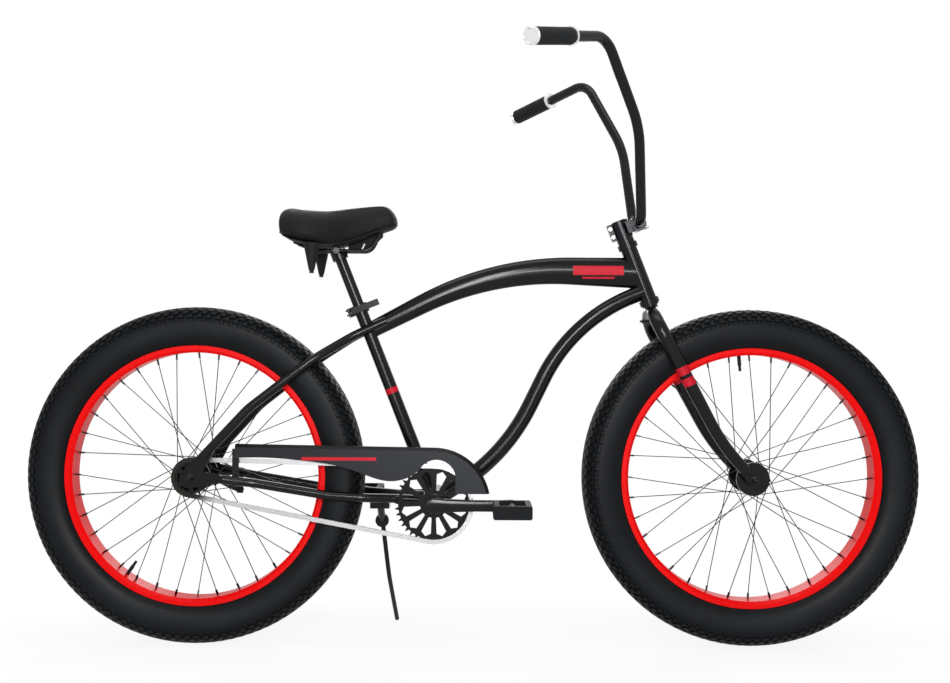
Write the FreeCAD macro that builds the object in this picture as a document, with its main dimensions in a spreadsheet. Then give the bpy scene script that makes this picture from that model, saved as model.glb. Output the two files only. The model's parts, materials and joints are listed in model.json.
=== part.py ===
"""Beach cruiser bicycle: fat tyres, swept frame, tall handlebar, one speed and a coaster brake.

+X is forward, +Y is the rider's left, +Z is up, and the drive side is at -Y.  The origin lies on the
ground half way between the wheels.  All lengths are millimetres and all angles degrees.
"""
import FreeCAD
import Part
import Sketcher
import math
import os
import re

SIZES = {
    # wheels
    "wheelbase": 1206,
    "tyre_radius": 366,
    "tyre_width": 94,
    "tread_block_height": 5,
    "tread_groove_half": 2.5,
    "tread_inner_row": 17,
    "tread_outer_row": 22,
    "tread_pitches": 54,
    "tread_slot": 9,
    "shoulder_half": 38,
    "shoulder_drop": 12,
    "shoulder_flare": 2.2,
    "tyre_widest_radius": 324,
    "tyre_wall": 4,
    "tread_wall": 9,
    "bead_radius": 279.5,
    "bead_height": 8,
    "rim_flange_radius": 286,
    "rim_inner_radius": 267,
    "rim_width": 60,
    "rim_wall": 2.5,
    "rim_floor_half": 24,
    "rim_well_half": 13,
    "rim_well_floor": 4.5,
    "fit": 0.1,
    "running_fit": 0.06,
    "spokes_per_wheel": 36,
    "spoke_crossings": 3,
    "spoke_radius": 1,
    "spoke_lay": 1.8,
    "rim_hole_stagger": 5,
    "nipple_side": 3.6,
    "nipple_length": 12,
    "hub_flange_radius": 36,
    "hub_flange_wall": 6,
    "hub_flange_offset": 40,
    "front_hub_radius": 15,
    "rear_hub_radius": 24,
    "hub_bore_radius": 10.5,
    "hub_bearing_width": 8,
    "axle_radius": 5,
    "cone_radius": 8,
    "front_dropout_half": 65,
    "rear_dropout_half": 80,
    "dropout_wall": 6,
    "axle_nut_radius": 9,
    "axle_nut_length": 11,
    "axle_washer_radius": 11,
    "axle_washer_wall": 2,
    "axle_stub": 9,
    "axle_stub_radius": 4.75,
    "hub_end_gap": 0.4,
    "cone_length": 9,
    "hub_nose_wall": 4,
    "bead_wall": 7,
    "rim_bevel": 6,
    "nipple_seat": 0.6,
    "valve_radius": 4,
    "valve_length": 34,
    "valve_cap_length": 12,
    "valve_neck": 1,
    "front_valve_angle": 95,
    "rear_valve_angle": 235,
    # drive train
    "bracket_setback": 84,
    "bracket_height": 312,
    "shell_radius": 29,
    "shell_width": 100,
    "shell_wall": 3,
    "cup_flange_wall": 3,
    "crank_length": 165,
    "crank_spindle_radius": 12,
    "crank_arm_wall": 13,
    "crank_arm_bevel": 3,
    "crank_arm_inset": 79,
    "crank_root_radius": 19,
    "crank_eye_radius": 14,
    "chain_pitch": 12.7,
    "roller_radius": 3.88,
    "chain_line": 60,
    "chainring_teeth": 40,
    "sprocket_teeth": 19,
    "sprocket_wall": 3,
    "tooth_root_depth": 4.4,
    "tooth_tip_height": 2.8,
    "tooth_gap_half": 2.8,
    "tooth_tip_half": 0.9,
    "sprocket_slots": 6,
    "sprocket_slot_margin": 3.5,
    "driver_radius": 15,
    "crank_shoulder_wall": 5,
    "crank_shoulder_radius": 21,
    "crank_cone_radius": 19,
    "cup_depth": 10,
    "pedal_thread_radius": 7,
    "pedal_shoulder_radius": 9,
    "pedal_cap_depth": 8,
    "pedal_barrel_radius": 10,
    "pedal_end_wall": 9,
    "pedal_chamfer": 3,
    "window_foot_half": 3,
    "link_plate_wall": 1.1,
    "link_plate_height": 9.4,
    "inner_link_gap": 3.6,
    "chainring_windows": 12,
    "window_inner_radius": 30,
    "window_wide_radius": 64,
    "window_outer_radius": 71,
    "window_width": 21,
    "pedal_spindle_radius": 5,
    "pedal_length": 96,
    "pedal_reach": 80,
    "pedal_height": 28,
    "pedal_gap": 6,
    "pedal_rail": 13,
    # frame
    "seat_angle": 68.4,
    "seat_tube_length": 459,
    "seat_tube_radius": 14.3,
    "tube_wall": 1.5,
    "head_angle": 68.5,
    "crown_forward": 387,
    "crown_height": 740,
    "head_tube_radius": 18,
    "head_tube_start": 16,
    "head_tube_length": 118,
    "headset_cup_height": 12,
    "headset_cup_radius": 22,
    "headset_gap": 0.4,
    "steerer_radius": 14.3,
    "steerer_wall": 2.5,
    "steerer_top": 199,
    "spacer_height": 13,
    "down_tube_radius": 17.45,
    "top_tube_rear_height": 36,
    "top_tube_front_height": 68,
    "top_tube_rear_width": 29,
    "top_tube_front_width": 35,
    "top_tube_join": 397,
    "top_tube_knee_forward": 39,
    "top_tube_knee_height": 820,
    "top_tube_head_join": 77,
    "top_tube_bend_share": 0.57,
    "top_tube_sides": 24,
    "top_tube_spans": 7,
    "down_tube_head_join": 35,
    "down_tube_upper_knee_forward": 215,
    "down_tube_upper_knee_height": 709,
    "down_tube_lower_knee_forward": 72,
    "down_tube_lower_knee_height": 416,
    "down_tube_upper_bend_share": 0.868,
    "down_tube_lower_bend_share": 0.704,
    "dropout_radius": 20,
    "eyelet_reach": 15.5,
    "head_tube_gap": 1,
    "headset_bearing_radius": 18.5,
    "fork_crown_drop": 16,
    "fork_shoulder_setback": 14,
    "fork_shoulder_bend_share": 0.816,
    "fork_leg_bend_share": 0.865,
    "fork_knee_reach": 67.4,
    "fork_knee_inset": 4,
    "fork_foot_reach": 17,
    "fork_foot_inset": 1,
    "fork_dropout_radius": 16,
    "stay_radius": 9.5,
    "seatstay_foot_forward": 28,
    "seatstay_foot_rise": 46,
    "seatstay_bow_forward": 123,
    "seatstay_bow_half": 72,
    "seatstay_bow_rise": 149,
    "seatstay_neck_forward": 258,
    "seatstay_neck_half": 61,
    "seatstay_neck_rise": 254,
    "seatstay_lap_forward": 341,
    "seatstay_lap_half": 26,
    "seatstay_lap_rise": 305,
    "seatstay_end_forward": 412,
    "seatstay_end_half": 23,
    "seatstay_end_rise": 338,
    "chainstay_foot_forward": 36,
    "chainstay_foot_rise": 3,
    "chainstay_bow_forward": 133,
    "chainstay_bow_half": 64,
    "chainstay_bow_drop": 11,
    "chainstay_tyre_forward": 293,
    "chainstay_tyre_half": 61,
    "chainstay_tyre_drop": 37,
    "chainstay_ring_forward": 371,
    "chainstay_ring_half": 59,
    "chainstay_ring_drop": 42,
    "chainstay_neck_setback": 86,
    "chainstay_neck_half": 43,
    "chainstay_neck_rise": 9,
    "chainstay_end_setback": 20,
    "chainstay_end_half": 38,
    "chainstay_end_rise": 6,
    "fork_leg_top_radius": 15,
    "fork_leg_middle_radius": 12.5,
    "fork_leg_foot_radius": 10.5,
    "fork_half_width": 72,
    # cockpit
    "bar_radius": 11.1,
    "stem_clamp_radius": 20,
    "stem_clamp_height": 38,
    "bar_clamp_radius": 17,
    "bar_clamp_width": 46,
    "stem_reach": 37,
    "stem_ear": 8,
    "stem_split": 1.5,
    "stem_bolt_head_radius": 4,
    "stem_bolt_head_wall": 4,
    "bar_middle_half": 64,
    "bar_middle_rise": 0,
    "bar_middle_back": 0,
    "bar_knee_half": 140,
    "bar_knee_rise": 187,
    "bar_knee_back": 16,
    "bar_top_half": 218,
    "bar_top_rise": 354,
    "bar_top_back": 94,
    "bar_end_half": 399,
    "bar_end_rise": 308,
    "bar_end_back": 249,
    "bar_middle_bend_share": 0.38,
    "bar_knee_bend_share": 0.41,
    "bar_top_bend_share": 0.359,
    "grip_radius": 17,
    "grip_length": 118,
    "grip_collar_radius": 19,
    "grip_collar_length": 7,
    "grip_cap_length": 12,
    # seat
    "seat_post_radius": 12.7,
    "seat_post_insert": 120,
    "seat_post_top": 585,
    "seat_post_wall": 2.5,
    "seat_clamp_height": 20,
    "seat_clamp_wall": 5,
    "clamp_bolt_radius": 3,
    "lever_length": 62,
    "lever_wall": 5,
    "lever_offset": 25,
    "lever_pin_radius": 2.5,
    "lever_cheek_wall": 3.5,
    "cam_radius": 6.5,
    "clamp_ear": 8,
    "saddle_length": 256,
    "saddle_setback": 122,
    "saddle_lift": 11.5,
    "saddle_spans": 12,
    "saddle_flats": 4,
    "saddle_tuck": 0.84,
    "saddle_rim": 0.82,
    "saddle_clamp_radius": 7,
    "saddle_clamp_margin": 8,
    "bumper_setback": 46,
    "saddle_width": 226,
    "saddle_pan_wall": 3,
    "tongue_half": 8.5,
    "tongue_start": 24,
    "tongue_rear_drop": 2,
    "tongue_flat": 26,
    "tongue_rise_length": 30,
    "tongue_rise": 16,
    "tongue_front_length": 19,
    "tongue_front_height": 34,
    "tongue_slot_width": 4.4,
    "tongue_slot_height": 17,
    "tongue_slot_tilt": 25,
    "saddle_rail_radius": 3.5,
    "saddle_rail_half": 22,
    "saddle_height": 100,
    "rail_nose_share": 0.84,
    "rail_nose_rise": 28,
    "rail_flat_forward": 72,
    "rail_flat_back": 46,
    "rail_tail_share": 0.12,
    "rail_tail_rise": 6,
    "rail_nose_bend_share": 0.325,
    "rail_tail_bend_share": 0.155,
    "rail_nose_narrowing": 0.6,
    "rail_tail_spread": 1.6,
    "bumper_top_radius": 18,
    "bumper_foot_radius": 6,
    "bumper_height": 58,
    "bumper_half": 80,
    # chain guard and kickstand
    "guard_offset": 71,
    "guard_wall": 1.6,
    "guard_rim": 9,
    "guard_radius": 121,
    "guard_bevel": 7,
    "guard_window_front": 46,
    "guard_window_side": 60,
    "guard_window_crest": 20,
    "guard_window_height": 93,
    "guard_window_back": 28,
    "guard_window_foot": 78,
    "guard_belly_start": 54,
    "guard_belly_start_height": 58,
    "guard_belly_back": 91,
    "guard_belly_height": 49.5,
    "guard_waist_back": 171,
    "guard_waist_height": 72,
    "guard_blade_back": 267,
    "guard_blade_height": 91,
    "guard_front_angle": 11,
    "guard_tail_reach": 95,
    "guard_tail_rise": 6,
    "guard_tail_depth": 30,
    "guard_band_reach": 62,
    "guard_arm_height": 118,
    "guard_arm_radius": 4,
    "band_width": 14,
    "band_wall": 1.8,
    "brake_arm_wall": 4,
    "brake_arm_length": 79,
    "brake_arm_drop": 41,
    "brake_arm_root_radius": 12,
    "brake_arm_tip_radius": 8,
    "brake_band_reach": 43,
    "pivot_setback": 119,
    "pivot_offset": 58,
    "pivot_drop": 50,
    "pivot_height_over_foot": 245,
    "hinge_toe": 0.05,
    "hinge_lift": 0.042,
    "kickstand_eye_half": 7,
    "kickstand_eye_radius": 9,
    "kickstand_lug_wall": 12,
    "kickstand_lug_radius": 15,
    "kickstand_pin_radius": 4.5,
    "kickstand_arm_radius": 8,
    "kickstand_bend_share": 0.186,
    "leg_knee_forward": 15,
    "leg_knee_out": 7,
    "leg_knee_drop": 127,
    "leg_foot_forward": 28,
    "leg_foot_out": 95,
    "kickstand_plate_length": 60,
    "kickstand_plate_half": 52,
    "kickstand_plate_height": 2,
    "kickstand_block_height": 18,
    "kickstand_block_half": 21,
    "kickstand_radius": 5,
    "kickstand_plate_wall": 5,
    "screw_radius": 2.5,
    "screw_head_radius": 5,
}

doc = FreeCAD.newDocument("BeachCruiser")
sheet = doc.addObject("Spreadsheet::Sheet", "Sizes")
for row, (alias, number) in enumerate(SIZES.items(), start=1):
    sheet.set(f"A{row}", alias)
    sheet.set(f"B{row}", str(number))
    sheet.setAlias(f"B{row}", alias)
doc.recompute()


def size(words):
    """The number that an expression in the sheet's words comes to."""
    return float(sheet.evalExpression(words))


def bound(words):
    """The same expression, with each of the sheet's words written as a cell of the sheet."""
    return re.sub(r"[a-z][a-z_]+", lambda word: "Sizes." + word.group(0), words)


V = FreeCAD.Vector
X_AXIS = V(1, 0, 0)
Y_AXIS = V(0, 1, 0)
Z_AXIS = V(0, 0, 1)
SIDES = (-1, 1)
NEAR = 0.01
nodes = {}


def keep(label, piece):
    """Names a finished sub-part."""
    piece.Label = label
    nodes[label] = piece
    return piece


def place(base, axis=Z_AXIS):
    """A placement that carries the local Z axis to the given axis and the local origin to base."""
    return FreeCAD.Placement(base, FreeCAD.Rotation(Z_AXIS, axis))


def origin_plane(body, role):
    for plane in body.Origin.OriginFeatures:
        if plane.Role == role:
            return plane
    raise ValueError(role)


def outline_sketch(body, role, corners):
    """A closed outline whose corners (two expressions each) are held by expression-bound distances."""
    sketch = body.newObject("Sketcher::SketchObject", "Outline")
    sketch.AttachmentSupport = [(origin_plane(body, role), "")]
    sketch.MapMode = "FlatFace"
    points = [V(size(across), size(along), 0) for across, along in corners]
    count = len(points)
    for index in range(count):
        sketch.addGeometry(Part.LineSegment(points[index], points[(index + 1) % count]))
    for index in range(count):
        sketch.addConstraint(Sketcher.Constraint("Coincident", index, 2, (index + 1) % count, 1))
    for index, (across, along) in enumerate(corners):
        for kind, value, words in (("DistanceX", points[index].x, across), ("DistanceY", points[index].y, along)):
            number = sketch.addConstraint(Sketcher.Constraint(kind, -1, 1, index, 1, value))
            sketch.setExpression(f"Constraints[{number}]", bound(words))
    return sketch


def revolved(label, corners, where):
    """A turned piece: corners are (radius, height) pairs about the local Z axis."""
    body = doc.addObject("PartDesign::Body", label)
    sketch = outline_sketch(body, "XZ_Plane", corners)
    turn = body.newObject("PartDesign::Revolution", "Turning")
    turn.Profile = sketch
    turn.ReferenceAxis = (sketch, ["V_Axis"])
    turn.Angle = 360
    body.Placement = where
    return body


def cylinder(label, radius, height, where):
    piece = doc.addObject("Part::Cylinder", label)
    piece.setExpression("Radius", bound(radius))
    piece.setExpression("Height", bound(height))
    piece.Placement = where
    return piece


def tube(label, outer, inner, height, where):
    """A straight tube as a cylinder less its bore."""
    piece = doc.addObject("Part::Cut", label)
    piece.Base = cylinder(label + "_outside", outer, height, where)
    piece.Tool = cylinder(label + "_bore", inner, height, where)
    return piece


def group(label, pieces):
    """Several pieces alike as one sub-part with separate solids."""
    together = doc.addObject("Part::Compound", label)
    together.Links = pieces
    return together


def feature(label, shape):
    """A sub-part whose form is worked out from the sheet by the code below."""
    piece = doc.addObject("Part::Feature", label)
    piece.Shape = shape
    return keep(label, piece)


def rod(start, end, radius):
    run = end - start
    return Part.makeCylinder(radius, run.Length, start, run)


def mirrored(point):
    """The same place on the other side of the bicycle."""
    return V(point.x, -point.y, point.z)


def across(point, side):
    """A point given for the left side, on the left (1) or the right (-1)."""
    return V(point.x, side * point.y, point.z)


def bent_path(points, shares):
    """Straight runs joined by tangent arcs.

    Each arc takes its share of the shorter run beside its corner, and a run between two corners counts by half.
    """
    runs = [(after - before).Length for before, after in zip(points, points[1:])]
    runs[1:-1] = [run / 2 for run in runs[1:-1]]
    edges = []
    start = points[0]
    for index, share in enumerate(shares):
        before, corner, after = points[index:index + 3]
        toward = (before - corner).normalize()
        away = (after - corner).normalize()
        half_turn = (math.pi - toward.getAngle(away)) / 2
        setback = share * min(runs[index], runs[index + 1])
        radius = setback / math.tan(half_turn)
        enter = corner + toward * setback
        leave = corner + away * setback
        middle = (toward + away).normalize()
        crest = corner + middle * (radius / math.cos(half_turn) - radius)
        edges.append(Part.LineSegment(start, enter).toShape())
        edges.append(Part.Arc(enter, crest, leave).toShape())
        start = leave
    edges.append(Part.LineSegment(start, points[-1]).toShape())
    return Part.Wire(edges)


def ring_at(path, radius):
    """A circle square to a path at its start."""
    edge = path.OrderedEdges[0]
    parameter = edge.FirstParameter
    return Part.Wire([Part.makeCircle(radius, edge.valueAt(parameter), edge.tangentAt(parameter))])


def swept(path, radius):
    """A round bar along a path."""
    return path.makePipeShell([ring_at(path, radius)], True, False)


def stepped_bar(points, bends, radii):
    """A round bar along straight runs and arcs that tapers on the straight runs only."""
    pieces = []
    for index, edge in enumerate(bent_path(points, bends).OrderedEdges):
        run = index // 2
        start = edge.valueAt(edge.FirstParameter)
        end = edge.valueAt(edge.LastParameter)
        if index % 2:
            pieces.append(swept(Part.Wire([edge]), radii[run + 1]))
        elif radii[run] == radii[run + 1]:
            pieces.append(rod(start, end, radii[run]))
        else:
            pieces.append(Part.makeCone(radii[run], radii[run + 1], edge.Length, start, end - start))
    return pieces[0].fuse(pieces[1:]).removeSplitter()


def polygon_bar(start, end, sides, radius):
    """A straight bar with a flat-sided section, such as a spoke, a nipple or a nut."""
    run = end - start
    seat = place(start, run)
    corners = []
    for index in range(sides):
        turn = 2 * math.pi * (index + 0.5) / sides
        corners.append(seat.multVec(V(radius * math.cos(turn), radius * math.sin(turn), 0)))
    return Part.Face(Part.makePolygon(corners + corners[:1])).extrude(run)


# Wheels

REAR_AXLE = V(-size("wheelbase / 2"), 0, size("tyre_radius"))
FRONT_AXLE = V(size("wheelbase / 2"), 0, size("tyre_radius"))
BRACKET = V(-size("bracket_setback"), 0, size("bracket_height"))
RIM_HALF = "rim_width / 2"
FRONT_HUB_END = "front_dropout_half - hub_end_gap - cone_length"
REAR_HUB_END = "hub_flange_offset + hub_flange_wall + hub_end_gap"
BRAKE_HUB_END = "rear_dropout_half - cone_length - dropout_wall"
DRIVER_START = "hub_flange_offset + hub_flange_wall + hub_end_gap * 3"
DRIVER_END = "chain_line + sprocket_wall + hub_end_gap * 2"


def symmetric(half):
    """An outline made of one half (radius, distance from the mid-plane) and its mirror image."""
    return half + [(radius, f"-({offset})") for radius, offset in reversed(half)]


def tread_slots(centre):
    """Cross slots that part the rows into blocks, half a pitch apart on the two halves of the tread."""
    pitches = int(size("tread_pitches"))
    half_slot = size("tread_slot / 2")
    floor = size("tyre_radius - tread_block_height")
    clear = size("tyre_radius + tread_block_height")
    wide = size("tyre_width")
    slots = []
    for side in SIDES:
        section = [
            (floor, 0),
            (floor, size("tread_inner_row")),
            (floor - size("shoulder_drop"), size("shoulder_half + shoulder_flare")),
            (floor - size("shoulder_drop"), wide),
            (clear, wide),
            (clear, 0),
        ]
        corners = [centre + V(radius, side * offset, -half_slot) for radius, offset in section]
        slab = Part.Face(Part.makePolygon(corners + corners[:1])).extrude(Z_AXIS * (2 * half_slot))
        for pitch in range(pitches):
            turn = 360 / pitches * (pitch + side / 4)
            slots.append(slab.rotated(centre, Y_AXIS, turn))
    return Part.makeCompound(slots)


def tyre(label, centre):
    """The casing, a bag open to the rim, with two rows of tread blocks on each half of its crown."""
    row_fall = "shoulder_drop * (tread_outer_row - tread_inner_row) / (shoulder_half - tread_inner_row)"
    floor = "tyre_radius - tread_block_height"
    outside = [
        ("bead_radius + fit", f"{RIM_HALF} - rim_wall - bead_wall"),
        ("bead_radius + fit", f"{RIM_HALF} - rim_wall - fit"),
        ("rim_flange_radius + bead_height / 8", f"{RIM_HALF} - rim_wall - fit"),
        ("tyre_widest_radius", "tyre_width / 2"),
        (f"{floor} - shoulder_drop", "shoulder_half + shoulder_flare"),
        ("tyre_radius - shoulder_drop", "shoulder_half"),
        (f"tyre_radius - {row_fall}", "tread_outer_row"),
        (f"{floor} - {row_fall}", "tread_outer_row"),
        (floor, "tread_inner_row"),
        ("tyre_radius", "tread_inner_row"),
        ("tyre_radius", "tread_groove_half"),
        (floor, "tread_groove_half"),
    ]
    inside = [
        (f"{floor} - tread_wall", "shoulder_half - tread_wall"),
        ("tyre_widest_radius", "tyre_width / 2 - tyre_wall"),
        ("rim_flange_radius + bead_height", f"{RIM_HALF} - rim_wall - bead_wall"),
    ]
    around = symmetric(outside) + [(radius, f"-({offset})") for radius, offset in reversed(inside)] + inside
    tread = doc.addObject("Part::Cut", label)
    tread.Base = revolved(f"{label}_casing", around, place(centre, Y_AXIS))
    tread.Tool = doc.addObject("Part::Feature", f"{label}_slots")
    tread.Tool.Shape = tread_slots(centre)
    return keep(label, tread)


def rim(label, centre):
    """A wide rim with hooked flanges, bead seats and a drop centre."""
    half = [
        ("rim_inner_radius + rim_well_floor", "rim_well_half"),
        ("bead_radius", "rim_well_half"),
        ("bead_radius", f"{RIM_HALF} - rim_wall"),
        ("rim_flange_radius", f"{RIM_HALF} - rim_wall"),
        ("rim_flange_radius", RIM_HALF),
        ("rim_inner_radius + rim_bevel", RIM_HALF),
        ("rim_inner_radius", "rim_floor_half"),
    ]
    keep(label, revolved(label, symmetric(half), place(centre, Y_AXIS)))


def hub(label, centre, barrel, right_end, left_end):
    """A hub shell with two large flanges, bored right through for its bearings."""
    flange_out = "hub_flange_offset + hub_flange_wall / 2"
    flange_in = "hub_flange_offset - hub_flange_wall / 2"
    nose = "hub_bore_radius + hub_nose_wall"
    around = [
        ("hub_bore_radius", f"-({right_end})"),
        (nose, f"-({right_end})"),
        (nose, f"-({flange_out})"),
        ("hub_flange_radius", f"-({flange_out})"),
        ("hub_flange_radius", f"-({flange_in})"),
        (barrel, f"-({flange_in})"),
        (barrel, flange_in),
        ("hub_flange_radius", flange_in),
        ("hub_flange_radius", flange_out),
        (nose, flange_out),
        (nose, left_end),
        ("hub_bore_radius", left_end),
    ]
    keep(label, revolved(label, around, place(centre, Y_AXIS)))


def hub_bearings(label, centre, right_end, left_end):
    """A ring of bearing in each end of the hub."""
    rings = []
    for name, start in (("_right", f"-({right_end})"), ("_left", f"{left_end} - hub_bearing_width")):
        where = place(centre + Y_AXIS * size(start), Y_AXIS)
        inner = "axle_radius + running_fit"
        rings.append(tube(label + name, "hub_bore_radius", inner, "hub_bearing_width", where))
    keep(label, group(label, rings))


def axle(label, centre, dropout_half, right_cone, left_cone):
    """A threaded axle with a cone outside each end of the hub."""
    end = f"{dropout_half} + dropout_wall + axle_washer_wall + axle_nut_length + axle_stub"
    nut_end = f"{dropout_half} + dropout_wall + axle_washer_wall + axle_nut_length"
    around = [
        ("0", f"-({end})"),
        ("axle_stub_radius", f"-({end})"),
        ("axle_stub_radius", f"-({nut_end})"),
        ("axle_radius", f"-({nut_end})"),
        ("axle_radius", f"-({dropout_half})"),
        ("cone_radius", f"-({dropout_half})"),
        ("cone_radius", f"-({right_cone} + hub_end_gap)"),
        ("axle_radius", f"-({right_cone} + hub_end_gap)"),
        ("axle_radius", f"{left_cone} + hub_end_gap"),
        ("cone_radius", f"{left_cone} + hub_end_gap"),
        ("cone_radius", dropout_half),
        ("axle_radius", dropout_half),
        ("axle_radius", nut_end),
        ("axle_stub_radius", nut_end),
        ("axle_stub_radius", end),
        ("0", end),
    ]
    keep(label, revolved(label, around, place(centre, Y_AXIS)))


def axle_nuts(label, centre, dropout_half):
    """A washer and a hexagon nut outside each dropout."""
    pieces = []
    for side in SIDES:
        seat = centre + Y_AXIS * (side * size(f"{dropout_half} + dropout_wall"))
        outward = Y_AXIS * side
        washer_end = seat + outward * size("axle_washer_wall")
        nut_end = washer_end + outward * size("axle_nut_length")
        bore = rod(seat, nut_end, size("axle_radius"))
        pieces.append(rod(seat, washer_end, size("axle_washer_radius")).cut(bore))
        pieces.append(polygon_bar(washer_end, nut_end, 6, size("axle_nut_radius")).cut(bore))
    feature(label, Part.makeCompound(pieces))


def on_wheel(centre, radius, angle, offset):
    """A point of a wheel by its radius, its angle from forward and its distance from the mid-plane."""
    return centre + V(radius * math.cos(angle), offset, radius * math.sin(angle))


def lacing(prefix, centre):
    """Crossed tangent spokes, alternately leading and trailing, each screwed into a square nipple."""
    spokes = []
    nipples = []
    per_flange = int(size("spokes_per_wheel / 2"))
    pitch = 2 * math.pi / per_flange
    for side in SIDES:
        for index in range(per_flange):
            lead = 1 if index % 2 else -1
            rim_angle = pitch * (index + 0.25 * (side + 1))
            hub_angle = rim_angle + lead * pitch * size("spoke_crossings")
            start = on_wheel(
                centre,
                size("hub_flange_radius + spoke_radius + fit"),
                hub_angle,
                side * size("hub_flange_offset") + lead * size("spoke_lay"),
            )
            end = on_wheel(
                centre, size("rim_inner_radius - nipple_seat"), rim_angle, side * size("rim_hole_stagger")
            )
            joint = end + (start - end).normalize() * size("nipple_length")
            spokes.append(polygon_bar(start, joint, 6, size("spoke_radius")))
            nipples.append(polygon_bar(joint, end, 4, size("nipple_side") / math.sqrt(2)))
    feature(prefix + "_spokes", Part.makeCompound(spokes))
    feature(prefix + "_nipples", Part.makeCompound(nipples))


def valve(label, centre, angle):
    """The valve stem, pointing from the rim to the hub, with its cap."""
    radius = size("rim_inner_radius")
    turn = math.radians(angle)
    root = on_wheel(centre, radius - size("fit"), turn, 0)
    inward = (centre - root).normalize()
    where = place(root, inward)
    corners = [
        ("0", "0"),
        ("valve_radius", "0"),
        ("valve_radius", "valve_length - valve_cap_length"),
        ("valve_radius - valve_neck", "valve_length - valve_cap_length"),
        ("valve_radius - valve_neck", "valve_length"),
        ("0", "valve_length"),
    ]
    keep(label, revolved(label, corners, where))


front_tyre = tyre("front_tyre", FRONT_AXLE)
rim("front_rim", FRONT_AXLE)
lacing("front", FRONT_AXLE)
valve("front_valve", FRONT_AXLE, size("front_valve_angle"))
hub("front_hub", FRONT_AXLE, "front_hub_radius", FRONT_HUB_END, FRONT_HUB_END)
hub_bearings("front_hub_bearings", FRONT_AXLE, FRONT_HUB_END, FRONT_HUB_END)
axle("front_axle", FRONT_AXLE, "front_dropout_half", FRONT_HUB_END, FRONT_HUB_END)
axle_nuts("front_axle_nuts", FRONT_AXLE, "front_dropout_half")

rear_tyre = keep("rear_tyre", doc.addObject("Part::Mirroring", "rear_tyre"))
rear_tyre.Source = front_tyre
rear_tyre.Normal = X_AXIS
rim("rear_rim", REAR_AXLE)
lacing("rear", REAR_AXLE)
valve("rear_valve", REAR_AXLE, size("rear_valve_angle"))
hub("rear_hub", REAR_AXLE, "rear_hub_radius", REAR_HUB_END, BRAKE_HUB_END)
hub_bearings("rear_hub_bearings", REAR_AXLE, REAR_HUB_END, BRAKE_HUB_END)
axle("rear_axle", REAR_AXLE, "rear_dropout_half", DRIVER_END, BRAKE_HUB_END)
axle_nuts("rear_axle_nuts", REAR_AXLE, "rear_dropout_half")


# Drive train

def at_bracket(forward, offset, up):
    """A point measured from the middle of the bottom bracket."""
    return BRACKET + V(forward, offset, up)


def pitch_radius(teeth):
    return size("chain_pitch") / (2 * math.sin(math.pi / teeth))


def upright_face(points):
    """A flat face in an upright plane through its corner points."""
    return Part.Face(Part.makePolygon(points + points[:1]))


def toothed_disc(centre, teeth, gap_angle, windows, bore):
    """A sprocket plate: straight-flanked teeth with a gap at gap_angle, windows cut out, and a bore."""
    radius = pitch_radius(teeth)
    start = V(centre.x, -size("chain_line + sprocket_wall / 2"), centre.z)
    root = radius - size("tooth_root_depth")
    tip = radius + size("tooth_tip_height")
    root_half = size("tooth_gap_half") / root
    tip_half = math.pi / teeth - size("tooth_tip_half") / tip
    points = []
    for index in range(teeth):
        middle = gap_angle + 2 * math.pi * index / teeth
        points.append(on_wheel(start, tip, middle - tip_half, 0))
        points.append(on_wheel(start, root, middle - root_half, 0))
        points.append(on_wheel(start, root, middle + root_half, 0))
        points.append(on_wheel(start, tip, middle + tip_half, 0))
    face = upright_face(points)
    for outline in windows:
        face = face.cut(upright_face([on_wheel(start, reach, turn, 0) for reach, turn in outline]))
    disc = face.extrude(Y_AXIS * size("sprocket_wall"))
    return disc.cut(rod(start, start + Y_AXIS * size("sprocket_wall"), bore))


def petal_windows():
    """Kite-shaped openings of the chainring: narrow at the boss, widest near the teeth."""
    wide = size("window_wide_radius")
    spread = size("window_width / 2") / wide
    foot = size("window_inner_radius")
    foot_spread = size("window_foot_half") / foot
    count = int(size("chainring_windows"))
    for index in range(count):
        turn = 2 * math.pi * (index + 0.5) / count
        yield [
            (foot, turn - foot_spread),
            (wide, turn - spread),
            (size("window_outer_radius"), turn),
            (wide, turn + spread),
            (foot, turn + foot_spread),
        ]


def sprocket_windows():
    """Short slots between the driver and the teeth of the rear sprocket."""
    inner = size("driver_radius + sprocket_slot_margin")
    outer = pitch_radius(size("sprocket_teeth")) - size("tooth_root_depth + sprocket_slot_margin")
    count = int(size("sprocket_slots"))
    half = math.pi / count - size("sprocket_slot_margin") / inner
    for index in range(count):
        turn = 2 * math.pi * index / count
        yield [(inner, turn - half), (outer, turn - half), (outer, turn + half), (inner, turn + half)]


RUN = REAR_AXLE - BRACKET
CENTRES = math.hypot(RUN.x, RUN.z)
REARWARD = math.atan2(RUN.z, RUN.x)
LARGE = pitch_radius(size("chainring_teeth"))
SMALL = pitch_radius(size("sprocket_teeth"))
LEAN = math.asin((LARGE - SMALL) / CENTRES)
STRAIGHT = math.sqrt(CENTRES ** 2 - (LARGE - SMALL) ** 2)
HALF_CHAIN = LARGE * (math.pi / 2 + LEAN) + STRAIGHT + SMALL * (math.pi / 2 - LEAN)
LINK_PAIRS = round(HALF_CHAIN / size("chain_pitch"))
LINK_STEP = HALF_CHAIN / LINK_PAIRS


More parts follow.
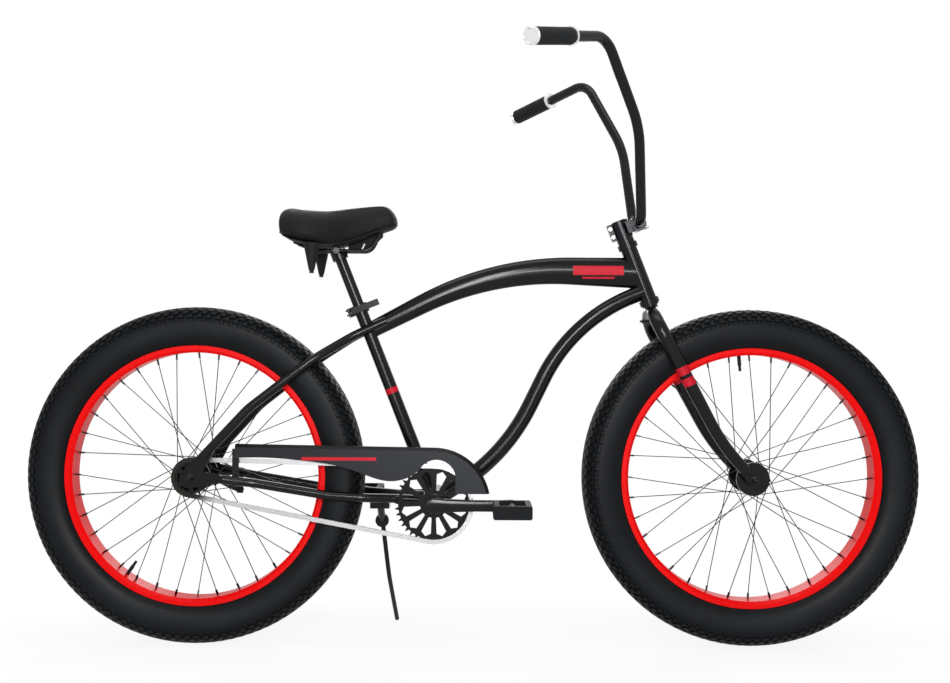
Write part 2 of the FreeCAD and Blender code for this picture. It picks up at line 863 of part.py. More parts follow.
def chain_point(step):
    """The pin that lies step links along the chain from the foremost tooth gap of the chainring."""
    whole = 2 * HALF_CHAIN
    along = (step * LINK_STEP) % whole
    side = 1 if along <= HALF_CHAIN else -1
    reach = along if side > 0 else whole - along
    wrap = LARGE * (math.pi / 2 + LEAN)
    if reach <= wrap:
        turn = REARWARD + math.pi - side * reach / LARGE
        return at_bracket(LARGE * math.cos(turn), 0, LARGE * math.sin(turn))
    normal = REARWARD + side * (math.pi / 2 - LEAN)
    if reach <= wrap + STRAIGHT:
        share = (reach - wrap) / STRAIGHT
        radius = LARGE + (SMALL - LARGE) * share
        return BRACKET + RUN * share + V(radius * math.cos(normal), 0, radius * math.sin(normal))
    turn = normal - side * (reach - wrap - STRAIGHT) / SMALL
    return REAR_AXLE + V(SMALL * math.cos(turn), 0, SMALL * math.sin(turn))


def link_plate(start, end, offset):
    """One side plate of a link, in an upright plane at the given offset."""
    along = (end - start).normalize()
    half = size("link_plate_height / 2")
    up = V(-along.z, 0, along.x) * half
    nose = along * half
    points = [start - nose, start + up, end + up, end + nose, end - up, start - up]
    return upright_face([V(point.x, offset, point.z) for point in points]).extrude(
        Y_AXIS * size("link_plate_wall")
    )


def roller_chain():
    """Narrow and wide links by turns: side plates and rollers all the way round."""
    pieces = []
    wall = size("link_plate_wall")
    line = -size("chain_line")
    half_gap = size("inner_link_gap / 2")
    for step in range(2 * LINK_PAIRS):
        start = chain_point(step)
        end = chain_point(step + 1)
        inset = half_gap if step % 2 == 0 else half_gap + wall
        pieces.append(link_plate(start, end, line + inset))
        pieces.append(link_plate(start, end, line - inset - wall))
        near = V(start.x, line - half_gap, start.z)
        pieces.append(polygon_bar(near, near + Y_AXIS * (2 * half_gap), 6, size("roller_radius")))
    feature("chain", Part.makeCompound(pieces))


def crank_arm(side):
    """One arm: a flat forging that narrows from the spindle to the pedal eye."""
    root = V(BRACKET.x, side * size("crank_arm_inset"), BRACKET.z)
    outward = Y_AXIS * (side * size("crank_arm_wall"))
    reach = X_AXIS * (-side * size("crank_length"))
    large = size("crank_root_radius")
    small = size("crank_eye_radius")
    slope = math.acos((large - small) / size("crank_length"))
    forward = reach.normalize()
    reach = forward * size("crank_length")

    def tangent(centre, radius, up):
        return centre + forward * (radius * math.cos(slope)) + Z_AXIS * (up * radius * math.sin(slope))

    eye = root + reach
    edges = [
        Part.Arc(tangent(root, large, 1), root - forward * large, tangent(root, large, -1)).toShape(),
        Part.LineSegment(tangent(root, large, -1), tangent(eye, small, -1)).toShape(),
        Part.Arc(tangent(eye, small, -1), eye + forward * small, tangent(eye, small, 1)).toShape(),
        Part.LineSegment(tangent(eye, small, 1), tangent(root, large, 1)).toShape(),
    ]
    arm = Part.Face(Part.Wire(edges)).extrude(outward)
    face = root.y + outward.y
    rim_edges = [edge for edge in arm.Edges if all(abs(end.Y - face) < NEAR for end in edge.Vertexes)]
    arm = arm.makeChamfer(size("crank_arm_bevel"), rim_edges)
    return arm.cut(rod(eye, eye + outward, size("pedal_thread_radius + fit / 2")))


def crank():
    """The one-piece crank: spindle, drive shoulder and both arms."""
    half = Y_AXIS * size("crank_arm_inset")
    shape = rod(BRACKET - half, BRACKET + half, size("crank_spindle_radius"))
    shoulder_start = BRACKET - Y_AXIS * size("chain_line + sprocket_wall / 2")
    shoulder_end = shoulder_start - Y_AXIS * size("crank_shoulder_wall")
    shape = shape.fuse([rod(shoulder_start, shoulder_end, size("crank_shoulder_radius"))])
    shape = shape.fuse([crank_arm(side) for side in SIDES])
    feature("crank", shape.removeSplitter())


def pedal_eye(side):
    """The outer face of a crank arm at its pedal eye."""
    return V(
        BRACKET.x - side * size("crank_length"), side * size("crank_arm_inset + crank_arm_wall"), BRACKET.z
    )


def pedal_spindle(side):
    """A stepped spindle: thread in the arm, shoulder, then the shaft that the pedal turns on."""
    corners = [
        ("0", "-crank_arm_wall"),
        ("pedal_thread_radius", "-crank_arm_wall"),
        ("pedal_thread_radius", "0"),
        ("pedal_shoulder_radius", "0"),
        ("pedal_shoulder_radius", "pedal_gap - hub_end_gap"),
        ("pedal_spindle_radius", "pedal_gap - hub_end_gap"),
        ("pedal_spindle_radius", "pedal_gap + pedal_length - pedal_cap_depth"),
        ("0", "pedal_gap + pedal_length - pedal_cap_depth"),
    ]
    return revolved(f"pedal_spindle_{side + 1}", corners, place(pedal_eye(side), Y_AXIS * side))


def pedal(label, side):
    """A block pedal: two foot rails joined by end plates round a barrel for the spindle."""
    start = pedal_eye(side) + Y_AXIS * (side * size("pedal_gap"))
    length = size("pedal_length")
    reach = size("pedal_reach")
    height = size("pedal_height")
    rail = size("pedal_rail")
    barrel = size("pedal_barrel_radius")
    plate = size("pedal_end_wall")
    low = min(start.y, start.y + side * length)
    block = Part.makeBox(reach, length, height, V(start.x - reach / 2, low, start.z - height / 2))
    block = block.makeChamfer(size("pedal_chamfer"), [edge for edge in block.Edges if edge.Length > length - 1])
    opening = Part.makeBox(reach - 2 * rail, length - 2 * plate, height)
    opening.translate(V(start.x - reach / 2 + rail, low + plate, start.z - height / 2))
    end = start + Y_AXIS * (side * length)
    bore_end = end - Y_AXIS * (side * (size("pedal_cap_depth") - size("hub_end_gap")))
    shape = block.cut(opening).fuse(rod(start, end, barrel))
    feature(label, shape.cut(rod(start, bore_end, size("pedal_spindle_radius + running_fit"))))


keep("bottom_bracket_shell", tube(
    "bottom_bracket_shell", "shell_radius", "shell_radius - shell_wall", "shell_width",
    place(BRACKET - Y_AXIS * size("shell_width / 2"), Y_AXIS),
))
cups = []
cones = []
for side in SIDES:
    seat = BRACKET + Y_AXIS * (side * size("shell_width / 2"))
    cups.append(revolved(f"bearing_cup_{side + 1}", [
        ("crank_cone_radius + running_fit", "-cup_depth"),
        ("shell_radius - shell_wall", "-cup_depth"),
        ("shell_radius - shell_wall", "0"),
        ("shell_radius", "0"),
        ("shell_radius", "cup_flange_wall"),
        ("crank_cone_radius + running_fit", "cup_flange_wall"),
    ], place(seat, Y_AXIS * side)))
    cones.append(tube(
        f"bearing_cone_{side + 1}", "crank_cone_radius", "crank_spindle_radius",
        "chain_line - sprocket_wall / 2 - shell_width / 2 + cup_depth",
        place(seat - Y_AXIS * (side * size("cup_depth")), Y_AXIS * side),
    ))
keep("bottom_bracket_cups", group("bottom_bracket_cups", cups))
keep("crank_cones", group("crank_cones", cones))
crank()
feature("chainring", toothed_disc(
    BRACKET, int(size("chainring_teeth")), REARWARD + math.pi, petal_windows(), size("crank_spindle_radius")
))
feature("rear_sprocket", toothed_disc(
    REAR_AXLE, int(size("sprocket_teeth")), REARWARD, sprocket_windows(), size("driver_radius")
))
keep("hub_driver", tube(
    "hub_driver", "driver_radius", "axle_radius + running_fit", f"{DRIVER_END} - ({DRIVER_START})",
    place(REAR_AXLE - Y_AXIS * size(DRIVER_END), Y_AXIS),
))
roller_chain()
keep("pedal_spindles", group("pedal_spindles", [pedal_spindle(side) for side in SIDES]))
pedal("right_pedal", -1)
pedal("left_pedal", 1)


# Frame

HEAD = math.radians(size("head_angle"))
STEER_UP = V(-math.cos(HEAD), 0, math.sin(HEAD))
CROWN = V(size("crown_forward"), 0, size("crown_height"))
STEER = FreeCAD.Placement(CROWN, FreeCAD.Rotation(Y_AXIS, size("head_angle") - 90))
SEAT = math.radians(size("seat_angle"))
SEAT_UP = V(-math.cos(SEAT), 0, math.sin(SEAT))
HEAD_TUBE_TOP = "head_tube_start + head_tube_length"
SPACER_START = f"{HEAD_TUBE_TOP} + headset_cup_height + headset_gap"
STEM_START = f"{SPACER_START} + spacer_height"


def up_steerer(distance):
    """A point on the steering axis, measured upwards from the fork crown."""
    return CROWN + STEER_UP * distance


def up_seat_tube(distance):
    """A point on the seat tube's axis, measured upwards from the bottom bracket."""
    return BRACKET + SEAT_UP * distance


def cut(label, base, tool):
    piece = doc.addObject("Part::Cut", label)
    piece.Base = base
    piece.Tool = tool
    return piece


def oval_at(edge, parameter, height, width):
    """An upright oval of many flats, square to an edge in the bicycle's mid-plane."""
    centre = edge.valueAt(parameter)
    up = edge.tangentAt(parameter).cross(Y_AXIS) * (height / 2)
    out = Y_AXIS * (width / 2)
    sides = int(size("top_tube_sides"))
    turns = [2 * math.pi * index / sides for index in range(sides)]
    corners = [centre + up * math.cos(turn) + out * math.sin(turn) for turn in turns]
    return Part.makePolygon(corners + corners[:1])


def top_tube_bar(inset):
    """The curved top tube, which grows from the seat tube to the head tube."""
    path = bent_path(
        [
            up_seat_tube(size("top_tube_join")),
            V(size("top_tube_knee_forward"), 0, size("top_tube_knee_height")),
            up_steerer(size("top_tube_head_join")),
        ],
        [size("top_tube_bend_share")],
    )
    rear, bend, front = path.OrderedEdges
    spans = int(size("top_tube_spans"))
    stations = [(rear, rear.FirstParameter, 0)]
    for index in range(spans + 1):
        share = index / spans
        parameter = bend.FirstParameter + (bend.LastParameter - bend.FirstParameter) * share
        stations.append((bend, parameter, rear.Length + bend.Length * share))
    stations.append((front, front.LastParameter, path.Length))
    sections = []
    for edge, parameter, distance in stations:
        share = distance / path.Length
        height = size("top_tube_rear_height") + share * size("top_tube_front_height - top_tube_rear_height")
        width = size("top_tube_rear_width") + share * size("top_tube_front_width - top_tube_rear_width")
        sections.append(oval_at(edge, parameter, height - 2 * inset, width - 2 * inset))
    return Part.makeLoft(sections, True, True)


def down_tube_path():
    return bent_path(
        [
            up_steerer(size("down_tube_head_join")),
            V(size("down_tube_upper_knee_forward"), 0, size("down_tube_upper_knee_height")),
            V(size("down_tube_lower_knee_forward"), 0, size("down_tube_lower_knee_height")),
            BRACKET,
        ],
        [size("down_tube_upper_bend_share"), size("down_tube_lower_bend_share")],
    )


SEATSTAY_BENDS = (0.145, 0.644, 0.35)
CHAINSTAY_BENDS = (0.161, 0.374, 0.32, 0.249)


def from_rear_axle(forward, half, rise):
    """A point measured from the rear axle."""
    return REAR_AXLE + V(size(forward), size(half), size(rise))


def seatstay_path(side):
    """From the dropout past the tyre and the seat tube to the flank of the top tube."""
    points = [
        from_rear_axle("seatstay_foot_forward", "rear_dropout_half + dropout_wall / 2", "seatstay_foot_rise"),
        from_rear_axle("seatstay_bow_forward", "seatstay_bow_half", "seatstay_bow_rise"),
        from_rear_axle("seatstay_neck_forward", "seatstay_neck_half", "seatstay_neck_rise"),
        from_rear_axle("seatstay_lap_forward", "seatstay_lap_half", "seatstay_lap_rise"),
        from_rear_axle("seatstay_end_forward", "seatstay_end_half", "seatstay_end_rise"),
    ]
    return bent_path([across(point, side) for point in points], SEATSTAY_BENDS)


def chainstay_path(side):
    """From the dropout, outside the tyre and inside the chainring, to the bracket shell."""
    points = [
        from_rear_axle("chainstay_foot_forward", "rear_dropout_half + dropout_wall / 2", "chainstay_foot_rise"),
        from_rear_axle("chainstay_bow_forward", "chainstay_bow_half", "-chainstay_bow_drop"),
        from_rear_axle("chainstay_tyre_forward", "chainstay_tyre_half", "-chainstay_tyre_drop"),
        from_rear_axle("chainstay_ring_forward", "chainstay_ring_half", "-chainstay_ring_drop"),
        at_bracket(-size("chainstay_neck_setback"), size("chainstay_neck_half"), size("chainstay_neck_rise")),
        at_bracket(-size("chainstay_end_setback"), size("chainstay_end_half"), size("chainstay_end_rise")),
    ]
    return bent_path([across(point, side) for point in points], CHAINSTAY_BENDS)


def largest(shape):
    """The main solid of a cut piece, without what the cut sets free."""
    return max(shape.Solids, key=lambda solid: solid.Volume)


def tapered_plate(first, first_radius, second, second_radius, thickness):
    """A plate with round ends of two sizes and straight tangent edges, in an upright plane."""
    along = second - first
    forward = V(along.x, along.y, along.z).normalize()
    side = forward.cross(Y_AXIS)
    slope = math.acos((first_radius - second_radius) / along.Length)

    def tangent(centre, radius, turn):
        return centre + forward * (radius * math.cos(slope)) + side * (turn * radius * math.sin(slope))

    edges = [
        Part.Arc(
            tangent(first, first_radius, 1), first - forward * first_radius, tangent(first, first_radius, -1)
        ).toShape(),
        Part.LineSegment(tangent(first, first_radius, -1), tangent(second, second_radius, -1)).toShape(),
        Part.Arc(
            tangent(second, second_radius, -1),
            second + forward * second_radius,
            tangent(second, second_radius, 1),
        ).toShape(),
        Part.LineSegment(tangent(second, second_radius, 1), tangent(first, first_radius, 1)).toShape(),
    ]
    return Part.Face(Part.Wire(edges)).extrude(thickness)


def rear_dropout(side):
    """A plate with the axle's hole, a small eyelet and a tab into the end of each stay."""
    inner = side * size("rear_dropout_half")
    wall = Y_AXIS * (side * size("dropout_wall"))
    centre = V(REAR_AXLE.x, inner, REAR_AXLE.z)
    radius = size("dropout_radius")
    tab = size("stay_radius")
    shape = tapered_plate(centre, radius, centre + V(44, 0, 62), tab, wall)
    shape = shape.fuse(tapered_plate(centre, radius, centre + V(62, 0, 0), tab, wall))
    eyelet = centre + V(-1, 0, 1) * (size("eyelet_reach") / math.sqrt(2))
    shape = shape.cut(rod(centre, centre + wall, size("axle_radius")))
    return shape.cut(rod(eyelet, eyelet + wall, size("screw_radius"))).removeSplitter()


keep("head_tube", tube(
    "head_tube", "head_tube_radius", "steerer_radius + head_tube_gap", "head_tube_length",
    place(up_steerer(size("head_tube_start")), STEER_UP),
))
seat_tube = tube(
    "seat_tube_blank", "seat_tube_radius", "seat_post_radius + running_fit", "seat_tube_length",
    place(BRACKET, SEAT_UP),
)
shell_room = cylinder(
    "shell_room", "shell_radius", "shell_width", place(BRACKET - Y_AXIS * size("shell_width / 2"), Y_AXIS)
)
keep("seat_tube", cut("seat_tube", seat_tube, shell_room))

HEAD_ROOM = rod(up_steerer(0), up_steerer(size(HEAD_TUBE_TOP) + size("head_tube_start")), size("head_tube_radius"))
SEAT_ROOM = rod(BRACKET, up_seat_tube(size("seat_tube_length")), size("seat_tube_radius"))
SHELL_HALF = Y_AXIS * size("shell_width / 2")
SHELL_ROOM = rod(BRACKET - SHELL_HALF, BRACKET + SHELL_HALF, size("shell_radius"))
TOP_ROOM = top_tube_bar(0)
DOWN_PATH = down_tube_path()
DOWN_ROOM = swept(DOWN_PATH, size("down_tube_radius"))

feature("top_tube", TOP_ROOM.cut(top_tube_bar(size("tube_wall"))).cut([HEAD_ROOM, SEAT_ROOM]))
down_tube = DOWN_ROOM.cut(swept(DOWN_PATH, size("down_tube_radius - tube_wall")))
feature("down_tube", down_tube.cut([HEAD_ROOM, SHELL_ROOM, TOP_ROOM, SEAT_ROOM]))
dropouts = [rear_dropout(side) for side in SIDES]
feature("rear_dropouts", Part.makeCompound(dropouts))
chainstay_bars = [swept(chainstay_path(side), size("stay_radius")) for side in SIDES]
seatstay_bars = [swept(seatstay_path(side), size("stay_radius")) for side in SIDES]
chainstays = [largest(bar.cut([SHELL_ROOM, plate])) for bar, plate in zip(chainstay_bars, dropouts)]
seatstays = [largest(bar.cut([TOP_ROOM, SEAT_ROOM, plate])) for bar, plate in zip(seatstay_bars, dropouts)]
feature("chainstays", Part.makeCompound(chainstays))
feature("seatstays", Part.makeCompound(seatstays))

# Fork and headset

cups = []
bearings = []
for name, start, bearing_start in (
    ("lower", "head_tube_start - headset_cup_height", "0"),
    ("upper", HEAD_TUBE_TOP, f"{HEAD_TUBE_TOP} + headset_gap"),
):
    cups.append(tube(
        f"{name}_cup", "headset_cup_radius", "headset_bearing_radius + running_fit", "headset_cup_height",
        place(up_steerer(size(start)), STEER_UP),
    ))
    bearings.append(tube(
        f"{name}_bearing", "headset_bearing_radius", "steerer_radius",
        "head_tube_start - headset_gap" if name == "lower" else "headset_cup_height",
        place(up_steerer(size(bearing_start)), STEER_UP),
    ))
keep("headset_cups", group("headset_cups", cups))
keep("headset_bearings", group("headset_bearings", bearings))
keep("headset_spacer", tube(
    "headset_spacer", "headset_bearing_radius", "steerer_radius", "spacer_height",
    place(up_steerer(size(SPACER_START)), STEER_UP),
))


def fork_leg(side):
    """Half of the fork: from the middle of the crown over the shoulder and down to the dropout."""
    crown = up_steerer(-size("fork_crown_drop"))
    foot_reach = size("fork_foot_reach")
    foot_half = size("front_dropout_half + dropout_wall / 2 - fork_foot_inset")
    knee_reach = size("fork_knee_reach")
    points = [
        crown,
        V(crown.x - size("fork_shoulder_setback"), size("fork_half_width"), crown.z),
        FRONT_AXLE + V(-knee_reach, size("fork_half_width - fork_knee_inset"), knee_reach),
        FRONT_AXLE + V(-foot_reach, foot_half, foot_reach),
    ]
    top = size("fork_leg_top_radius")
    return stepped_bar(
        [across(point, side) for point in points],
        [size("fork_shoulder_bend_share"), size("fork_leg_bend_share")],
        [top, top, size("fork_leg_middle_radius"), size("fork_leg_foot_radius")],
    )


def fork_dropout(side):
    """A plate with the axle's hole and a tab into the foot of the fork leg."""
    centre = V(FRONT_AXLE.x, side * size("front_dropout_half"), FRONT_AXLE.z)
    wall = Y_AXIS * (side * size("dropout_wall"))
    plate = tapered_plate(
        centre, size("fork_dropout_radius"), centre + V(-33, 0, 33), size("fork_leg_foot_radius"), wall
    )
    return plate.cut(rod(centre, centre + wall, size("axle_radius")))


fork_dropouts = [fork_dropout(side) for side in SIDES]
fork_bar = fork_leg(-1).fuse(fork_leg(1)).removeSplitter()
feature("fork_dropouts", Part.makeCompound(fork_dropouts))
feature("fork_legs", fork_bar.cut(fork_dropouts))
steerer = rod(up_steerer(-size("fork_crown_drop")), up_steerer(size("steerer_top")), size("steerer_radius"))
steerer_bore = rod(up_steerer(0), up_steerer(size("steerer_top")), size("steerer_radius - steerer_wall"))
feature("steerer_tube", steerer.cut(steerer_bore).cut(fork_bar))

# Stem, handlebar and grips, first along the steering axis (local Z) and forward (local X)

CLAMP_MIDDLE = size(f"{STEM_START} + stem_clamp_height / 2")
CLAMP = V(size("stem_reach"), 0, CLAMP_MIDDLE)
BAR_CENTRE = STEER.multVec(CLAMP)


def stem_bolt_lines():
    """Start points of the four faceplate bolts, which run forward through the bar clamp's lips."""
    lip = size("bar_radius + bar_clamp_radius") / 2
    for side in SIDES:
        for up in SIDES:
            yield CLAMP + V(0, side * size("bar_clamp_width") / 3, up * lip)


def pinch_bolt_lines():
    """Middles of the two bolts that close the slot at the back of the stem."""
    for up in SIDES:
        yield V(-size("stem_clamp_radius + stem_ear / 2"), 0, CLAMP_MIDDLE + up * size("stem_clamp_height / 4"))


def stem_pieces():
    """The stem and its faceplate, which share the round clamp for the bar."""
    half_width = Y_AXIS * size("bar_clamp_width / 2")
    start = V(0, 0, size(STEM_START))
    top = start + Z_AXIS * size("stem_clamp_height")
    bar_clamp = rod(CLAMP - half_width, CLAMP + half_width, size("bar_clamp_radius"))
    bar_room = rod(CLAMP - half_width, CLAMP + half_width, size("bar_radius"))
    ear = size("stem_ear")
    depth = size("stem_clamp_radius") + ear
    ears = Part.makeBox(depth, 2 * ear, size("stem_clamp_height"), V(-depth, -ear, size(STEM_START)))
    neck_height = size("bar_clamp_radius") * 1.6
    neck = Part.makeBox(
        size("stem_reach"), size("stem_clamp_radius") * 1.7, neck_height,
        V(0, -size("stem_clamp_radius") * 0.85, CLAMP_MIDDLE - neck_height / 2),
    )
    gap = size("stem_split") / 2
    reach = size("bar_clamp_radius") + 1
    front = Part.makeBox(
        reach, size("bar_clamp_width"), 2 * reach,
        CLAMP + V(gap, -size("bar_clamp_width") / 2, -reach),
    )
    ahead = Part.makeBox(
        reach + gap, size("bar_clamp_width"), 2 * reach,
        CLAMP + V(-gap, -size("bar_clamp_width") / 2, -reach),
    )
    slot = Part.makeBox(
        depth, size("stem_split"), size("stem_clamp_height"),
        V(-depth, -size("stem_split") / 2, size(STEM_START)),
    )
    bolt_radius = size("screw_radius")
    lip_reach = X_AXIS * reach
    bolt_room = [rod(line - lip_reach, line + lip_reach, bolt_radius) for line in stem_bolt_lines()]
    pinch = Y_AXIS * ear
    bolt_room += [rod(line - pinch, line + pinch, bolt_radius) for line in pinch_bolt_lines()]
    body = rod(start, top, size("stem_clamp_radius")).fuse([ears, neck, bar_clamp])
    body = body.cut([rod(start, top, size("steerer_radius")), bar_room, ahead, slot] + bolt_room)
    plate = bar_clamp.cut([bar_room] + bolt_room).common(front)
    return body, plate


def stem_bolts():
    """Four faceplate bolts and two pinch bolts, each with a round head."""
    bolts = []
    shank = size("screw_radius")
    head = size("stem_bolt_head_radius")
    wall = X_AXIS * size("stem_bolt_head_wall")
    lip = size("bar_radius + bar_clamp_radius") / 2
    seat = math.sqrt(size("bar_clamp_radius") ** 2 - (lip - head) ** 2)
    for line in stem_bolt_lines():
        face = line + X_AXIS * seat
        bolts.append(rod(line - X_AXIS * (seat / 2), face, shank).fuse(rod(face, face + wall, head)))
    ear = Y_AXIS * size("stem_ear")
    for line in pinch_bolt_lines():
        head_wall = Y_AXIS * size("stem_bolt_head_wall")
        bolts.append(rod(line - ear, line + ear, shank).fuse(rod(line - ear - head_wall, line - ear, head)))
    return Part.makeCompound(bolts)


stem, faceplate = stem_pieces()
for label, shape in (("stem", stem), ("stem_faceplate", faceplate), ("stem_bolts", stem_bolts())):
    feature(label, shape).Placement = STEER


def bar_point(half, rise, back):
    """A corner of the handlebar, measured from the middle of its clamp."""
    return BAR_CENTRE + V(-size(back), size(half), size(rise))


BAR_TOP = bar_point("bar_top_half", "bar_top_rise", "bar_top_back")
BAR_END = bar_point("bar_end_half", "bar_end_rise", "bar_end_back")
GRIP_LINE = (BAR_END - BAR_TOP).normalize()


def handlebar():
    """One bent tube: level at the clamp, up and out, then back to the grips."""
    half = [
        bar_point("bar_middle_half", "bar_middle_rise", "bar_middle_back"),
        bar_point("bar_knee_half", "bar_knee_rise", "bar_knee_back"),
        BAR_TOP,
        BAR_END,
    ]
    bends = [size(f"bar_{name}_bend_share") for name in ("middle", "knee", "top")]
    points = [mirrored(point) for point in reversed(half)] + [BAR_CENTRE] + half
    left = swept(bent_path(points[4:], bends), size("bar_radius"))
    right = swept(bent_path(list(reversed(points[:5])), bends), size("bar_radius"))
    feature("handlebar", left.fuse(right).removeSplitter())


def on_grips(start, end, outer, inner):
    """The same round piece on both ends of the bar, by distances inwards from the bar's end."""
    pieces = []
    for side in SIDES:
        line = across(GRIP_LINE, side)
        first = across(BAR_END, side) - line * start
        last = across(BAR_END, side) - line * end
        piece = rod(first, last, outer)
        pieces.append(piece.cut(rod(first, last, inner)) if inner else piece)
    return Part.makeCompound(pieces)


handlebar()
grip_length = size("grip_length")
bar_radius = size("bar_radius")
feature("grips", on_grips(0, grip_length, size("grip_radius"), bar_radius))
collars = on_grips(
    grip_length, grip_length + size("grip_collar_length"), size("grip_collar_radius"), bar_radius
)
caps = on_grips(-size("grip_cap_length"), 0, size("grip_radius"), 0)
feature("grip_trims", Part.makeCompound(collars.Solids + caps.Solids))


# Chain guard

def polar(radius, degrees, offset):
    """A point round the bottom bracket."""
    turn = math.radians(degrees)
    return V(BRACKET.x + radius * math.cos(turn), offset, BRACKET.z + radius * math.sin(turn))


def arc_edge(radius, start, end, offset):
    middle = polar(radius, (start + end) / 2, offset)
    return Part.Arc(polar(radius, start, offset), middle, polar(radius, end, offset)).toShape()


def line_edges(points):
    return [Part.LineSegment(first, last).toShape() for first, last in zip(points, points[1:])]


def curve_edge(points):
    curve = Part.BSplineCurve()
    curve.interpolate(points)
    return curve.toShape()


def bevelled(solid, depth, reach):
    """Bevels the long top edge, and the front arc of radius reach, at one depth of an upright plate."""
    chosen = []
    for edge in solid.Edges:
        middle = edge.valueAt((edge.FirstParameter + edge.LastParameter) / 2)
        flat = all(abs(end.Y - depth) < NEAR for end in edge.Vertexes)
        away = math.hypot(middle.x - BRACKET.x, middle.z - BRACKET.z)
        ahead = middle.x > BRACKET.x and abs(away - reach) < NEAR
        above = middle.x < BRACKET.x and middle.z > BRACKET.z + reach - NEAR
        if flat and (ahead or above):
            chosen.append(edge)
    return solid.makeChamfer(size("guard_bevel"), chosen)


def chain_guard():
    """A pressed cover over the chain that curls round the front of the chainring, hollow and open below."""
    wall = size("guard_wall")
    offset = -size("guard_offset + guard_wall")
    outer = size("guard_radius")
    front = size("guard_front_angle")
    depth = size("guard_wall + guard_rim")
    tail = V(REAR_AXLE.x + size("guard_tail_reach"), offset, BRACKET.z + outer + size("guard_tail_rise"))
    tail_low = tail - Z_AXIS * size("guard_tail_depth")
    front_low = polar(outer, front, offset)
    window_front = BRACKET.x + size("guard_window_front")
    window_low = V(window_front, offset, front_low.z)
    window_side = V(window_front, offset, BRACKET.z + size("guard_window_side"))
    window_crest = at_bracket(size("guard_window_crest"), offset, size("guard_window_height"))
    window_back = at_bracket(-size("guard_window_back"), offset, size("guard_window_foot"))
    belly = [
        window_back,
        at_bracket(-size("guard_belly_start"), offset, size("guard_belly_start_height")),
        at_bracket(-size("guard_belly_back"), offset, size("guard_belly_height")),
        at_bracket(-size("guard_waist_back"), offset, size("guard_waist_height")),
        at_bracket(-size("guard_blade_back"), offset, size("guard_blade_height")),
        tail_low,
    ]
    edges = [arc_edge(outer, 90, front, offset)]
    edges += line_edges([front_low, window_low, window_side])
    edges.append(Part.Arc(window_side, window_crest, window_back).toShape())
    edges.append(curve_edge(belly))
    edges += line_edges([tail_low, tail, polar(outer, 90, offset)])
    cover = Part.Face(Part.Wire(edges)).extrude(Y_AXIS * depth)
    cover = bevelled(cover, offset, outer)
    inset = outer - wall
    inner = offset + wall
    room_tail = V(tail.x - depth, inner, tail.z - wall)
    room_low = V(polar(inset, front, inner).x, inner, BRACKET.z - outer)
    edges = [arc_edge(inset, 90, front, inner)]
    edges += line_edges([
        polar(inset, front, inner), room_low, V(room_tail.x, inner, room_low.z), room_tail, polar(inset, 90, inner),
    ])
    room = Part.Face(Part.Wire(edges)).extrude(Y_AXIS * depth)
    room = bevelled(room, inner, inset)
    feature("chain_guard", cover.cut(room))
    return tail


def stay_band(path, distance, width, thickness, bar):
    """A band round a stay at a distance along its path, and the middle of that band."""
    edge = path.OrderedEdges[0]
    start = edge.valueAt(edge.FirstParameter)
    along = edge.tangentAt(edge.FirstParameter)
    middle = start + along * distance
    half = along * (width / 2)
    ring = rod(middle - half, middle + half, size("stay_radius") + thickness)
    return ring.cut(bar), middle


guard_tail = chain_guard()
band_width = size("band_width")
band_wall = size("band_wall")
guard_band, guard_seat = stay_band(chainstay_path(-1), size("guard_band_reach"), band_width, band_wall, chainstay_bars[0])
strap_inner = -size("guard_offset")
strap = Part.makeBox(
    band_width, band_wall, guard_tail.z - guard_seat.z - size("guard_tail_depth / 3"),
    V(guard_seat.x - band_width / 2, strap_inner, guard_seat.z),
)
arm_start = up_seat_tube(size("guard_arm_height"))
arm_end = V(arm_start.x, strap_inner, arm_start.z)
guard_arm = rod(arm_start, arm_end, size("guard_arm_radius")).cut(SEAT_ROOM)
feature("chain_guard_brackets", Part.makeCompound([
    guard_band.fuse(strap.cut(chainstay_bars[0])).removeSplitter(), guard_arm,
]))

# Coaster brake arm

arm_inner = size("rear_dropout_half - dropout_wall - brake_arm_wall")
arm_foot = V(REAR_AXLE.x, arm_inner, REAR_AXLE.z)
arm_tip = arm_foot + V(size("brake_arm_length"), 0, -size("brake_arm_drop"))
arm_wall = Y_AXIS * size("brake_arm_wall")
brake_arm = tapered_plate(arm_foot, size("brake_arm_root_radius"), arm_tip, size("brake_arm_tip_radius"), arm_wall)
brake_arm = brake_arm.cut([
    rod(arm_foot, arm_foot + arm_wall, size("cone_radius")),
    rod(arm_tip, arm_tip + arm_wall, size("screw_radius")),
])
brake_band, brake_seat = stay_band(
    chainstay_path(1), size("brake_band_reach"), band_width, band_wall, chainstay_bars[1]
)
strap_top = V(arm_tip.x - band_width / 2, arm_inner - band_wall, arm_tip.z - size("brake_arm_tip_radius"))
brake_strap = Part.makeBox(band_width, band_wall, brake_seat.z - strap_top.z, strap_top)
brake_strap = brake_strap.fuse(brake_band).cut(chainstay_bars[1]).removeSplitter()
bolt_start = arm_tip - Y_AXIS * (2 * band_wall)
bolt_end = arm_tip + arm_wall
brake_bolt = rod(bolt_start, bolt_end, size("screw_radius"))
brake_bolt = brake_bolt.fuse(rod(bolt_end, bolt_end + arm_wall, size("screw_head_radius")))
feature("brake_arm", Part.makeCompound([brake_arm, brake_strap.cut(brake_bolt), brake_bolt]))

# Kickstand

